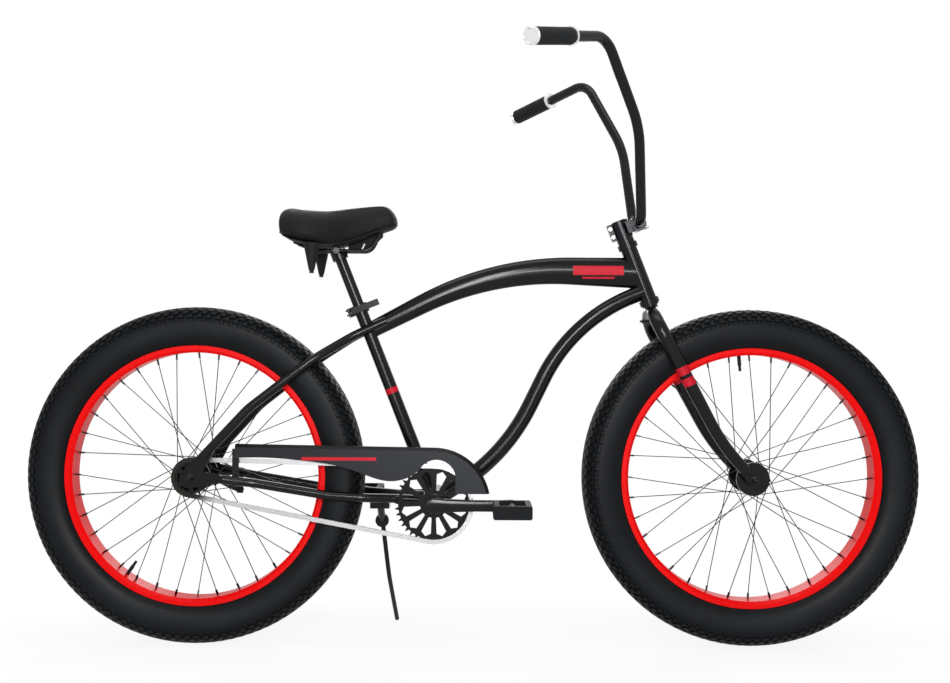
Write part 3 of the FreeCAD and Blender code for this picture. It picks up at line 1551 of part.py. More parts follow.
PIVOT = at_bracket(-size("pivot_setback"), size("pivot_offset"), -size("pivot_drop"))
HINGE = V(-size("hinge_toe"), 1, size("hinge_lift")).normalize()
leg_half = HINGE * size("kickstand_eye_half")
end_gap = HINGE * size("headset_gap")
lug_wall = HINGE * size("kickstand_lug_wall")
plate_low = BRACKET.z + size("kickstand_plate_height")
plate = Part.makeBox(
    size("kickstand_plate_length"), 2 * size("kickstand_plate_half"), size("kickstand_plate_wall"),
    V(PIVOT.x - size("kickstand_plate_length") / 2, -size("kickstand_plate_half"), plate_low),
)
plate = largest(plate.cut(chainstay_bars))
block_height = size("kickstand_block_height")
block_half = size("kickstand_block_half")
block = Part.makeBox(
    2 * block_half, 2 * block_half, block_height, V(PIVOT.x - block_half, -block_half, plate_low - block_height)
)
lug_start = PIVOT - leg_half - end_gap - lug_wall
lug_end = PIVOT - leg_half - end_gap
rivet_seat = PIVOT + leg_half + end_gap
bracket = block.fuse([
    rod(lug_start, lug_end, size("kickstand_lug_radius")),
    rod(V(PIVOT.x, 0, plate_low - block_height / 2), lug_start + lug_wall / 2, size("kickstand_arm_radius")),
    rod(lug_start, rivet_seat, size("kickstand_pin_radius")),
    rod(rivet_seat, rivet_seat + lug_wall / 2, size("kickstand_arm_radius")),
])
leg_room = rod(PIVOT - leg_half - end_gap, rivet_seat, size("kickstand_eye_radius") + 1)
leg_room = leg_room.cut(rod(lug_start, rivet_seat, size("kickstand_pin_radius")))
feature("kickstand_mount", Part.makeCompound([plate, bracket.cut(leg_room).removeSplitter()]))
leg_path = bent_path(
    [
        PIVOT,
        PIVOT + V(size("leg_knee_forward"), size("leg_knee_out"), -size("leg_knee_drop")),
        PIVOT + V(size("leg_foot_forward"), size("leg_foot_out"), -size("pivot_height_over_foot")),
    ],
    [size("kickstand_bend_share")],
)
leg = swept(leg_path, size("kickstand_radius"))
leg = leg.fuse(rod(PIVOT - leg_half, PIVOT + leg_half, size("kickstand_eye_radius")))
pin_room = rod(lug_start, rivet_seat + lug_wall, size("kickstand_pin_radius + running_fit"))
feature("kickstand_leg", leg.cut(pin_room).removeSplitter())

# Seat post and its clamp

keep("seat_post", tube(
    "seat_post", "seat_post_radius", "seat_post_radius - seat_post_wall",
    "seat_post_top - seat_tube_length + seat_post_insert",
    place(up_seat_tube(size("seat_tube_length - seat_post_insert")), SEAT_UP),
))
SEATING = FreeCAD.Placement(BRACKET, FreeCAD.Rotation(Y_AXIS, size("seat_angle") - 90))
clamp_height = size("seat_clamp_height")
clamp_low = size("seat_tube_length") - clamp_height
clamp_mid = clamp_low + clamp_height / 2
collar_radius = size("seat_tube_radius + seat_clamp_wall")
ear_depth = collar_radius + size("clamp_ear")
ear_half = size("clamp_ear")
collar = Part.makeCylinder(collar_radius, clamp_height, V(0, 0, clamp_low))
collar = collar.fuse(Part.makeBox(ear_depth, 2 * ear_half, clamp_height, V(-ear_depth, -ear_half, clamp_low)))
slit = Part.makeBox(ear_depth, size("stem_split"), clamp_height, V(-ear_depth, -size("stem_split") / 2, clamp_low))
BOLT = V(-collar_radius - size("clamp_ear") / 2, 0, clamp_mid)
CAM = BOLT - Y_AXIS * size("lever_offset")
bolt = rod(CAM, BOLT + Y_AXIS * ear_half, size("clamp_bolt_radius"))
collar = collar.cut([Part.makeCylinder(size("seat_tube_radius"), clamp_height, V(0, 0, clamp_low)), slit, bolt])
nut_end = BOLT + Y_AXIS * (ear_half + size("stem_bolt_head_wall"))
bolt = bolt.fuse(rod(BOLT + Y_AXIS * ear_half, nut_end, size("screw_head_radius")))
cam_half = Z_AXIS * (clamp_height / 2 - 1)
bolt = bolt.fuse(rod(CAM - cam_half, CAM + cam_half, size("lever_pin_radius")))
feature("seat_clamp", Part.makeCompound([collar, bolt])).Placement = SEATING
cam_wall = Z_AXIS * size("lever_cheek_wall")
cam_inner = Z_AXIS * size("clamp_bolt_radius + headset_gap")
lever = Part.makeBox(
    size("lever_length"), size("lever_wall"), 2 * (cam_inner + cam_wall).z,
    CAM + V(size("cam_radius"), -size("lever_wall") / 2, -(cam_inner + cam_wall).z),
)
cheeks = []
for up in SIDES:
    cheek_start = CAM + cam_inner * up
    cheeks.append(rod(cheek_start, cheek_start + cam_wall * up, size("cam_radius")))
    cheek = Part.makeBox(size("cam_radius") * 2, size("lever_wall"), cam_wall.z)
    low = cheek_start.z if up > 0 else cheek_start.z - cam_wall.z
    cheek.translate(V(CAM.x, CAM.y - size("lever_wall") / 2, low))
    cheeks.append(cheek)
lever = lever.fuse(cheeks)
lever = lever.cut(rod(CAM - cam_half, CAM + cam_half, size("lever_pin_radius + running_fit")))
feature("seat_clamp_lever", lever.removeSplitter()).Placement = SEATING

# Saddle

POST_TOP = up_seat_tube(size("seat_post_top"))
SADDLE = POST_TOP + V(-size("saddle_setback"), 0, size("saddle_lift"))
STATIONS = (
    # shares of the length from the rear, of the half width, and of the height at skirt, shoulder and crown
    (0.00, 0.62, 0.30, 0.62, 0.74),
    (0.06, 0.86, 0.18, 0.56, 0.80),
    (0.20, 1.00, 0.04, 0.48, 0.76),
    (0.40, 0.86, 0.00, 0.46, 0.75),
    (0.60, 0.52, 0.10, 0.54, 0.83),
    (0.82, 0.34, 0.32, 0.68, 0.91),
    (0.96, 0.27, 0.46, 0.70, 0.86),
    (1.00, 0.18, 0.52, 0.64, 0.72),
)


def saddle_section(station, drop, depth):
    """A cross-section of the saddle: drawn-in foot, full flank and a crowned top."""
    share, breadth = station[:2]
    skirt, shoulder, crown = (part * size("saddle_height") for part in station[2:])
    forward = SADDLE.x + share * size("saddle_length")
    half = breadth * size("saddle_width") / 2
    tuck = half * size("saddle_tuck")

    def at(side, up):
        return V(forward, side, SADDLE.z + up)

    if depth:
        foot = [at(-tuck, skirt - drop), at(tuck, skirt - drop), at(tuck, skirt - drop - depth),
                at(-tuck, skirt - drop - depth)]
        return Part.makePolygon(foot + foot[:1])
    waist = (skirt + shoulder) / 2
    rim = half * size("saddle_rim")
    flats = int(size("saddle_flats"))
    right = Part.Arc(at(tuck, skirt), at(half, waist), at(rim, shoulder)).toShape().discretize(flats)
    top = Part.Arc(at(rim, shoulder), at(0, crown), at(-rim, shoulder)).toShape().discretize(2 * flats)
    left = Part.Arc(at(-rim, shoulder), at(-half, waist), at(-tuck, skirt)).toShape().discretize(flats)
    corners = right + top[1:-1] + left
    return Part.makePolygon(corners + corners[:1])


def blended(share):
    """The saddle's measures at any share of its length, on a smooth curve through the stations."""
    index = 0
    while index < len(STATIONS) - 2 and share > STATIONS[index + 1][0]:
        index += 1
    first = STATIONS[index]
    last = STATIONS[index + 1]
    before = STATIONS[max(index - 1, 0)]
    after = STATIONS[min(index + 2, len(STATIONS) - 1)]
    span = last[0] - first[0]
    step = (share - first[0]) / span
    measures = [share]
    for column in range(1, len(first)):
        leave = (last[column] - before[column]) / (last[0] - before[0]) * span
        arrive = (after[column] - first[column]) / (after[0] - first[0]) * span
        rise = last[column] - first[column]
        bend = (leave - 2 * rise + arrive) * step ** 3 + (3 * rise - 2 * leave - arrive) * step ** 2
        measures.append(bend + leave * step + first[column])
    return measures


spans = int(size("saddle_spans"))
shares = [0.5 - 0.5 * math.cos(math.pi * index / spans) for index in range(spans + 1)]
stations = [blended(share) for share in shares]
cover = Part.makeLoft([saddle_section(station, 0, 0) for station in stations], True, True)
feature("saddle_cover", cover)
pan_wall = size("saddle_pan_wall")
pan_gap = size("headset_gap")
pan = Part.makeLoft([saddle_section(station, pan_gap, pan_wall) for station in stations[1:-1]], True, True)


def saddle_tongue():
    """The slotted tongue under the nose that holds the front of the rails."""
    half = size("tongue_half")
    rear = V(POST_TOP.x + size("tongue_start"), -half, POST_TOP.z - size("tongue_rear_drop"))
    bend = rear + X_AXIS * size("tongue_flat")
    rise = bend + V(size("tongue_rise_length"), 0, size("tongue_rise"))
    front = rear + V(size("tongue_flat + tongue_rise_length + tongue_front_length"), 0, size("tongue_front_height"))
    top = Z_AXIS * size("saddle_height")
    side = Part.makePolygon([rear, bend, rise, front, front + top, rear + top, rear])
    tongue = Part.Face(side).extrude(Y_AXIS * (2 * half))
    width = size("tongue_slot_width")
    height = size("tongue_slot_height")
    for place_along in (bend, rise):
        low = place_along + V(0, -half, size("tongue_slot_width"))
        slot = Part.makeBox(width, 4 * half, height, low)
        tongue = tongue.cut(slot.rotated(low, Y_AXIS, size("tongue_slot_tilt")))
    return tongue.cut([pan, cover])


tongue = max(saddle_tongue().Solids, key=lambda solid: -solid.CenterOfMass.z)
pan = pan.fuse(tongue).removeSplitter()
feature("saddle_pan", pan)


def saddle_rail(side):
    """A wire from under the nose, through the clamp, to the rear of the pan."""
    half = size("saddle_rail_half")
    points = [
        SADDLE + V(size("saddle_length * rail_nose_share"), half * size("rail_nose_narrowing"), size("rail_nose_rise")),
        POST_TOP + V(size("rail_flat_forward"), half, 0),
        POST_TOP + V(-size("rail_flat_back"), half, 0),
        SADDLE + V(size("saddle_length * rail_tail_share"), half * size("rail_tail_spread"), size("rail_tail_rise")),
    ]
    bends = [size("rail_nose_bend_share"), size("rail_tail_bend_share")]
    path = bent_path([across(point, side) for point in points], bends)
    return swept(path, size("saddle_rail_radius")).cut([pan, cover])


rails = [saddle_rail(side) for side in SIDES]
clamp_half = Y_AXIS * size("saddle_rail_half + saddle_clamp_margin")
clamp_low = up_seat_tube(size("seat_post_top - seat_clamp_height"))
saddle_clamp = rod(POST_TOP - clamp_half, POST_TOP + clamp_half, size("saddle_clamp_radius"))
saddle_clamp = saddle_clamp.fuse(rod(clamp_low, POST_TOP, size("seat_post_radius + seat_clamp_wall")))
post_room = rod(clamp_low - SEAT_UP, POST_TOP, size("seat_post_radius"))
feature("saddle_rails", Part.makeCompound(rails + [saddle_clamp.cut(rails + [post_room])]))


def saddle_bumper(side):
    """A tapered rubber bumper that hangs under the rear of the pan."""
    top = POST_TOP + V(-size("bumper_setback"), side * size("bumper_half"), size("saddle_lift"))
    foot = top - Z_AXIS * size("bumper_height")
    cone = Part.makeCone(
        size("bumper_foot_radius"), size("bumper_top_radius"), size("bumper_height"), foot
    )
    knob = rod(foot - Z_AXIS * size("bumper_foot_radius"), foot, size("bumper_foot_radius") * 0.8)
    return cone.fuse(knob).cut([pan, cover])


feature("saddle_bumpers", Part.makeCompound([saddle_bumper(side) for side in SIDES]))


# Every object is sound before anything is written

doc.recompute()
for item in doc.Objects:
    if "Invalid" in item.State or "Error" in item.State:
        raise RuntimeError(f"{item.Name} failed: {item.State}")
os.makedirs("parts", exist_ok=True)
for label, piece in nodes.items():
    if piece.Shape.isNull() or not piece.Shape.isValid() or not piece.Shape.Solids:
        raise RuntimeError(f"{label} has no sound solid")
for label, piece in nodes.items():
    piece.Shape.exportStep(f"parts/{label}.step")
print(len(nodes), "sub-parts")
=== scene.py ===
"""Looks of a beach cruiser bicycle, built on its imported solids.

Laid out as an add-on and run as a script.  Lengths are metres: +X is forward, +Y the rider's left, +Z up.
"""
import json
import math

import bpy
import numpy as np
from bpy.props import FloatProperty, FloatVectorProperty, IntProperty, PointerProperty
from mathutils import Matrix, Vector


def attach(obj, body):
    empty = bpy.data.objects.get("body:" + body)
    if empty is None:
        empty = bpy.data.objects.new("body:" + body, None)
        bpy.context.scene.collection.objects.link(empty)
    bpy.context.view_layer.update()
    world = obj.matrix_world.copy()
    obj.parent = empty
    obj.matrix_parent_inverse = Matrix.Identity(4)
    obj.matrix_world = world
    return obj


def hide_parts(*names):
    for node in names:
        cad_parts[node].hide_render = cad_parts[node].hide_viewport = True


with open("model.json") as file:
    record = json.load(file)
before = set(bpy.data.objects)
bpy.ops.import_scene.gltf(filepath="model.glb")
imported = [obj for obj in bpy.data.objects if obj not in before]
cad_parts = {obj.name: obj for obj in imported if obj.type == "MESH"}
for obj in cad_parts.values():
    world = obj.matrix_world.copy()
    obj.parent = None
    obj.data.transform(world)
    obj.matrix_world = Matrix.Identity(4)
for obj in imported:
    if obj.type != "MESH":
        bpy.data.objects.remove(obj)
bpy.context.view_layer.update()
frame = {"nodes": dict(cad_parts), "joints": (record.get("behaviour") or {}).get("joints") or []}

bl_info = {
    "name": "Beach cruiser looks",
    "version": (1, 0, 0),
    "blender": (4, 5, 0),
    "location": "View3D > Sidebar > Cruiser",
    "description": "Dresses the solids of a beach cruiser bicycle in paint, rubber, leather and chrome",
    "category": "Object",
}

SIDES = (-1, 1)
FULL_TURN = 2 * math.pi


def joint_at(name):
    """Where a joint of the frame turns, as a numpy point."""
    for joint in frame["joints"]:
        if joint["name"] == name:
            return np.array(joint["pos_m"], float)
    raise ValueError(f"the frame has no joint named {name}")


WHEELS = {"front": joint_at("front_wheel_spin"), "rear": joint_at("rear_wheel_spin")}


def colour_property(name, words, red, green, blue):
    """A colour that a user may change."""
    return FloatVectorProperty(
        name=name, description=words, subtype="COLOR", size=3, min=0, max=1, default=(red, green, blue)
    )


def length_property(name, words, metres):
    """A length that a user may change."""
    return FloatProperty(name=name, description=words, default=metres, min=0, unit="LENGTH", precision=4)


class CruiserColours(bpy.types.PropertyGroup):
    """Colours of the finishes."""

    frame_black: colour_property("Frame", "Gloss paint of the frame", 0.0024, 0.0024, 0.0028)
    rim_red: colour_property("Rims", "Gloss paint of the rims", 0.70, 0.0005, 0.0008)
    stripe_red: colour_property("Stripes", "Plain stripes on the tubes and the guard", 0.42, 0.003, 0.014)
    guard_grey: colour_property("Guard", "Satin paint of the chain guard", 0.010, 0.0112, 0.014)
    tyre_black: colour_property("Tyres", "Rubber of the tyres", 0.0030, 0.0037, 0.0046)
    saddle_black: colour_property("Saddle", "Leather-like saddle cover", 0.0042, 0.0042, 0.0046)
    steel: colour_property("Bright steel", "Chain, bearings, bolts and spindles", 0.46, 0.46, 0.47)
    alloy_dark: colour_property("Stem", "Dark alloy of the stem", 0.02, 0.02, 0.022)
    spoke_black: colour_property("Spokes", "Blackened spokes and nipples", 0.035, 0.035, 0.037)
    chrome: colour_property("Chrome", "Caps and collars of the grips", 0.86, 0.86, 0.87)


class CruiserSizes(bpy.types.PropertyGroup):
    """Sizes of the pieces that the solids leave plain."""

    tread_pitches: IntProperty(
        name="Tread pitches", description="Repeats of the tread round a tyre", default=108, min=24
    )
    block_height: length_property("Block height", "How far the tread stands above the casing", 0.0048)
    casing_wall: length_property("Casing wall", "Wall of the tyre casing", 0.004)
    rib_pitch: length_property("Rib pitch", "Spacing of the grips' ribs", 0.0036)
    rib_depth: length_property("Rib depth", "Depth of the grips' ribs", 0.0005)
    saddle_swell: length_property("Saddle swell", "Most that the padding may swell", 0.0025)
    camera_distance: length_property("Camera distance", "From the bicycle's mid-plane", 2.6)
    camera_height: length_property("Camera height", "Above the floor", 0.66)


def colours():
    """The chosen colours."""
    return bpy.context.scene.cruiser_colours


def sizes():
    """The chosen sizes."""
    return bpy.context.scene.cruiser_sizes


class Term:
    """A number that varies over a surface: arithmetic on it adds Math nodes to its material."""

    def __init__(self, shader, socket):
        self.shader = shader
        self.socket = socket

    def __add__(self, other):
        return self.shader.maths("ADD", self, other)

    def __sub__(self, other):
        return self.shader.maths("SUBTRACT", self, other)

    def __rsub__(self, other):
        return self.shader.maths("SUBTRACT", other, self)

    def __mul__(self, other):
        return self.shader.maths("MULTIPLY", self, other)

    def __truediv__(self, other):
        return self.shader.maths("DIVIDE", self, other)

    def __pow__(self, other):
        return self.shader.maths("POWER", self, other)

    def __abs__(self):
        return self.shader.maths("ABSOLUTE", self)

    __radd__ = __add__


class Shader:
    """A material whose nodes all come from one method."""

    def __init__(self, name):
        self.material = bpy.data.materials.new(name)
        self.material.use_nodes = True
        self.tree = self.material.node_tree
        self.surface = self.tree.nodes["Principled BSDF"]
        self.place = self.add("TexCoord").outputs["Object"]

    def fill(self, socket, value):
        """Gives a socket a link where the value is a term or a socket, and a plain value otherwise."""
        source = value.socket if isinstance(value, Term) else value
        if isinstance(source, bpy.types.NodeSocket):
            self.tree.links.new(source, socket)
        else:
            socket.default_value = source

    def add(self, kind, settings=None, sockets=None):
        """A node of one kind: its settings first, then the values or links of its sockets."""
        node = self.tree.nodes.new("ShaderNode" + kind)
        for word, value in (settings or {}).items():
            setattr(node, word, value)
        for word, value in (sockets or {}).items():
            self.fill(node.inputs[word], value)
        return node

    def maths(self, operation, *values):
        """One Math node on terms and numbers."""
        node = self.add("Math", {"operation": operation}, dict(enumerate(values)))
        return Term(self, node.outputs[0])

    def axes(self):
        """The surface point's X, Y and Z."""
        parts = self.add("SeparateXYZ", None, {0: self.place})
        return [Term(self, socket) for socket in parts.outputs]

    def noise(self, scale, detail):
        """Cloudy noise from 0 to 1, with cells about 1/scale metres across."""
        sockets = {"Vector": self.place, "Scale": scale, "Detail": detail}
        return Term(self, self.add("TexNoise", None, sockets).outputs[0])

    def cells(self, scale, feature):
        """Distance inside cells about 1/scale metres across, from their centres (F1) or their edges."""
        sockets = {"Vector": self.place, "Scale": scale}
        return Term(self, self.add("TexVoronoi", {"feature": feature}, sockets).outputs["Distance"])

    def step(self, value, low, high):
        """0 below low, 1 above high and a straight line between them."""
        sockets = {"Value": value, "From Min": low, "From Max": high}
        return Term(self, self.add("MapRange", {"clamp": True}, sockets).outputs["Result"])

    def within(self, value, low, high, edge):
        """1 between two values and 0 outside, with soft edges."""
        return self.step(value, low - edge, low + edge) * (1 - self.step(value, high - edge, high + edge))

    def larger(self, first, second):
        """The larger of two terms at each point."""
        return self.maths("MAXIMUM", first, second)

    def wave(self, value):
        """The sine of a term."""
        return self.maths("SINE", value)

    def blend(self, first, second, factor):
        """A colour between two colours."""
        node = self.add(
            "Mix", {"data_type": "RGBA"}, {"Factor": factor, "A": opaque(first), "B": opaque(second)}
        )
        return node.outputs["Result"]

    def wheel_radius(self):
        """Distance from the nearer wheel's axle, seen from the side."""
        across, _, up = self.axes()
        forward = abs(across) - abs(WHEELS["front"][0])
        rise = up - WHEELS["front"][2]
        return (forward * forward + rise * rise) ** 0.5

    def finish(self, colour, roughness, relief=None, depth=0.0002, **constants):
        """Joins colour, roughness and relief to the surface, and sets what is the same all over."""
        self.fill(self.surface.inputs["Base Color"], opaque(colour))
        self.fill(self.surface.inputs["Roughness"], roughness)
        if relief is not None:
            bump = self.add("Bump", None, {"Height": relief, "Distance": depth, "Strength": 1.0})
            self.fill(self.surface.inputs["Normal"], bump.outputs[0])
        for words, value in constants.items():
            self.surface.inputs[words.replace("_", " ")].default_value = value
        return self.material


def opaque(colour):
    """A colour of three numbers with full cover, or a socket as it is."""
    if isinstance(colour, bpy.types.NodeSocket):
        return colour
    return (*colour[:3], 1.0)


def shade(colour, factor):
    """A colour made darker or lighter."""
    return tuple(min(part * factor, 1.0) for part in colour[:3])


SATIN_ROUGHNESS = 0.35


def gloss_paint(name, colour, marks=None, mark_colour=None):
    """Gloss paint: a faint orange peel, a little haze, and plain satin marks where asked."""
    shader = Shader(name)
    peel = shader.noise(260, detail=1.0) * 0.6 + shader.noise(900, detail=1.0) * 0.4
    haze = shader.noise(14, detail=3.0)
    tint = shader.blend(shade(colour, 0.8), shade(colour, 1.5), haze)
    rough = 0.15 + haze * 0.04
    if marks:
        mark = marks(shader)
        tint = shader.blend(tint, mark_colour, mark)
        rough = rough + mark * SATIN_ROUGHNESS
    return shader.finish(tint, rough, peel, depth=0.0000006, Specular_IOR_Level=0.19)


def plain_metal(name, colour, roughness):
    """Bare or plated metal with fine smears and a fine tooth."""
    shader = Shader(name)
    smear = shader.noise(45, detail=4.0)
    tooth = shader.noise(1400, detail=2.0)
    tint = shader.blend(shade(colour, 0.82), colour, smear)
    rough = roughness * 0.8 + smear * roughness * 0.5
    return shader.finish(tint, rough, tooth, depth=0.00002, Metallic=1.0)


def grid_faces(rows, columns, ring_rows, ring_columns):
    """Quads of a grid of points, closed on itself along its rows or its columns where asked."""
    row, column = np.meshgrid(
        np.arange(rows if ring_rows else rows - 1),
        np.arange(columns if ring_columns else columns - 1),
        indexing="ij",
    )
    next_row = (row + 1) % rows
    next_column = (column + 1) % columns
    corners = [
        row * columns + column,
        next_row * columns + column,
        next_row * columns + next_column,
        row * columns + next_column,
    ]
    return np.stack(corners, axis=-1).reshape(-1, 4)


def put_piece(name, points, faces, material, body, crease=None):
    """A mesh of one finish that rides on a body, faces outwards, sharp past a crease angle in degrees."""
    mesh = bpy.data.meshes.new(name)
    mesh.from_pydata(points.tolist(), [], faces.tolist())
    mesh.validate()
    mesh.polygons.foreach_set("use_smooth", np.full(len(mesh.polygons), True))
    mesh.materials.append(material)
    piece = bpy.data.objects.new(name, mesh)
    bpy.context.scene.collection.objects.link(piece)
    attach(piece, body)
    set_outward(piece)
    if crease is not None:
        piece.data.set_sharp_from_angle(angle=math.radians(crease))
    return piece


def set_outward(piece):
    """Turns a piece's faces so that they point outwards."""
    bpy.context.view_layer.objects.active = piece
    piece.select_set(True)
    bpy.ops.object.mode_set(mode="EDIT")
    bpy.ops.mesh.select_all(action="SELECT")
    bpy.ops.mesh.normals_make_consistent(inside=False)
    bpy.ops.object.mode_set(mode="OBJECT")
    piece.select_set(False)


def join_parts(parts):
    """Several pairs of points and faces as one pair."""
    starts = np.cumsum([0] + [len(points) for points, _ in parts[:-1]])
    points = np.concatenate([points for points, _ in parts])
    faces = np.concatenate([faces + start for (_, faces), start in zip(parts, starts)])
    return points, faces


def cosine_spacing(count):
    """Shares from 0 to 1 that lie closer together at both ends: (1 - cos t) / 2."""
    return 0.5 - 0.5 * np.cos(np.linspace(0, math.pi, count))


def quarter_circle(share):
    """The height of a quarter circle, sqrt(1 - (1 - s)^2), at a share s of its radius, and 1 past it."""
    return np.sqrt(1 - (1 - np.clip(share, 0, 1)) ** 2)


def power_wave(wave, power):
    """A sine or cosine made squarer, with its sign kept."""
    return np.sign(wave) * np.abs(wave) ** power


def along_axis(start, end):
    """A unit vector from start to end, and two unit vectors square to it and to each other."""
    line = np.asarray(end, float) - np.asarray(start, float)
    line = line / np.linalg.norm(line)
    helper = np.array([0.0, 0.0, 1.0]) if abs(line[2]) < 0.9 else np.array([1.0, 0.0, 0.0])
    side = np.cross(helper, line)
    side = side / np.linalg.norm(side)
    return line, side, np.cross(line, side)


def turned(start, end, reach, radius, around):
    """A profile turned round an axis: start + reach * line + radius * (cos t * side + sin t * lift)."""
    line, side, lift = along_axis(start, end)
    turn = np.linspace(0, FULL_TURN, around, endpoint=False)
    spoke = np.cos(turn)[:, None] * side + np.sin(turn)[:, None] * lift
    return np.asarray(start) + reach[:, None, None] * line + radius[:, None, None] * spoke[None]


CASING_HALF = 0.047
WIDEST_RADIUS = 0.324
CROWN_RADIUS = 0.366
CROWN_SQUARENESS = 2.5
BEAD_RADIUS = 0.2815
BEAD_HALF = 0.0266
LAST_ANGLE = math.radians(150)


def casing_curve(angle):
    """The casing's half-section at an angle from the crown, as radius and offset.

    Down to the widest place it is a squared ellipse, offset = W sin a and
    radius = R + H (1 - |sin a|^m)^(1/m); below it a quarter ellipse draws in to the bead.
    """
    height = CROWN_RADIUS - sizes().block_height - WIDEST_RADIUS
    share = np.abs(np.sin(angle))
    upper = WIDEST_RADIUS + height * np.clip(1 - share**CROWN_SQUARENESS, 0, 1) ** (1 / CROWN_SQUARENESS)
    fall = np.clip((np.abs(angle) - math.pi / 2) / (LAST_ANGLE - math.pi / 2), 0, 1) * math.pi / 2
    lower = WIDEST_RADIUS - (WIDEST_RADIUS - BEAD_RADIUS) * np.sin(fall)
    drawn = BEAD_HALF + (CASING_HALF - BEAD_HALF) * np.cos(fall)
    below = np.abs(angle) > math.pi / 2
    radius = np.where(below, lower, upper)
    offset = np.sign(angle) * np.where(below, drawn, CASING_HALF * share)
    return radius, offset


def casing_points(centre, angle, turn, lift):
    """Points on the tyre at section angles and turns about the axle, raised by lift along the normal."""
    nudge = 0.02
    ahead = casing_curve(angle + nudge)
    behind = casing_curve(angle - nudge)
    radius_step = ahead[0] - behind[0]
    offset_step = ahead[1] - behind[1]
    span = np.hypot(radius_step, offset_step)
    radius, offset = casing_curve(angle)
    radius = radius + lift * offset_step / span
    offset = offset - lift * radius_step / span
    return centre + np.stack([radius * np.cos(turn), offset + 0 * turn, radius * np.sin(turn)], axis=-1)


def tyre_casing(centre, around=144, across=56):
    """The casing as a closed shell: its outer curve and, the wall's depth inside it, its inner curve."""
    angle = np.linspace(-LAST_ANGLE, LAST_ANGLE, across)
    section = np.concatenate([angle, angle[::-1]])
    lift = np.concatenate([np.zeros(across), np.full(across, -sizes().casing_wall)])
    turn = np.linspace(0, FULL_TURN, around, endpoint=False)
    points = casing_points(centre, section[None, :], turn[:, None], lift[None, :])
    return points.reshape(-1, 3), grid_faces(around, 2 * across, True, True)


TREAD_ROWS = (
    # section angle and half width in degrees; half length, shift and slant in pitches; share of the height
    (6.5, 5.0, 0.34, 0.00, 0.10, 1.0),
    (20.0, 5.6, 0.30, 0.50, -0.12, 1.0),
    (34.5, 6.0, 0.34, 0.12, 0.10, 1.0),
    (50.0, 6.2, 0.30, 0.62, -0.08, 1.0),
    (64.0, 4.6, 0.36, 0.15, 0.05, 0.75),
    (75.5, 3.6, 0.24, 0.65, 0.0, 0.4),
)
FAR_SIDE_SHIFT = 0.31
BLOCK_SPREAD = np.array([1.15, 1.0, 0.8])
BLOCK_RISE = np.array([-0.3, 0.7, 1.0])


def tread_blocks(centre):
    """Rows of small blocks: each is a base sunk in the casing, a full shoulder and a smaller top."""
    pitch = FULL_TURN / sizes().tread_pitches
    rows = np.array(TREAD_ROWS)
    far_side = rows * (-1, 1, 1, 1, 1, 1) + (0, 0, 0, FAR_SIDE_SHIFT, 0, 0)
    rows = np.concatenate([rows, far_side])
    index = np.arange(sizes().tread_pitches)
    corner_across = np.array([-1, 1, 1, -1])
    corner_along = np.array([-1, -1, 1, 1])
    middle, half, length, shift, slant, height = (column[:, None, None, None] for column in rows.T)
    unit = np.ones((len(rows), len(index), len(BLOCK_RISE), len(corner_along)))
    ring = BLOCK_SPREAD[None, None, :, None]
    angle = np.radians(middle + half * ring * corner_across) * unit
    along = index[None, :, None, None] + shift + length * ring * corner_along + slant * corner_across
    lift = sizes().block_height * BLOCK_RISE[None, None, :, None] * height * unit
    points = casing_points(centre, angle, along * pitch * unit, lift)
    blocks = len(rows) * len(index)
    near = np.arange(4)
    far = (near + 1) % 4
    band = np.stack([near, far, far + 4, near + 4], axis=-1)
    ends = np.array([[8, 9, 10, 11], [3, 2, 1, 0]])
    block = np.concatenate([band, band + 4, ends])
    block_points = len(BLOCK_RISE) * len(near)
    faces = block[None] + block_points * np.arange(blocks)[:, None, None]
    return points.reshape(-1, 3), faces.reshape(-1, 4)


BAR_CENTRE = np.array([0.356, 0.0, 0.9195])
GRIP_FROM = np.array([-0.094, 0.218, 0.354])
GRIP_END = np.array([-0.249, 0.399, 0.308])
GRIP_LENGTH = 0.118
GRIP_RADIUS = 0.017
GRIP_BORE = 0.0112
GRIP_END_GAP = 0.0005
PLAIN_END = 0.0032
RIB_FADE = 0.004
RIB_POINTS = 5


def grip_run(side):
    """The outer end of the bar on one side, and the knee where its straight run to that end starts."""
    flip = np.array([1, side, 1])
    return BAR_CENTRE + GRIP_END * flip, BAR_CENTRE + GRIP_FROM * flip


def grip_sleeve(side, around=40):
    """A ribbed sleeve closed on the bar: radius = R - d (1 + cos(2 pi s / p)) / 2, full at its ends."""
    end, start = grip_run(side)
    ribs = int(GRIP_LENGTH / sizes().rib_pitch)
    reach = np.linspace(GRIP_END_GAP, GRIP_LENGTH - GRIP_END_GAP, ribs * RIB_POINTS)
    groove = 0.5 + 0.5 * np.cos(FULL_TURN * reach / sizes().rib_pitch)
    from_end = np.minimum(reach, GRIP_LENGTH - reach)
    fade = np.clip((from_end - PLAIN_END) / RIB_FADE, 0, 1)
    radius = GRIP_RADIUS - sizes().rib_depth * groove * fade
    bore = np.full(1, GRIP_BORE)
    reach = np.concatenate([reach[:1], reach, reach[-1:]])
    radius = np.concatenate([bore, radius, bore])
    points = turned(end, start, reach, radius, around)
    return points.reshape(-1, 3), grid_faces(len(reach), around, True, True)


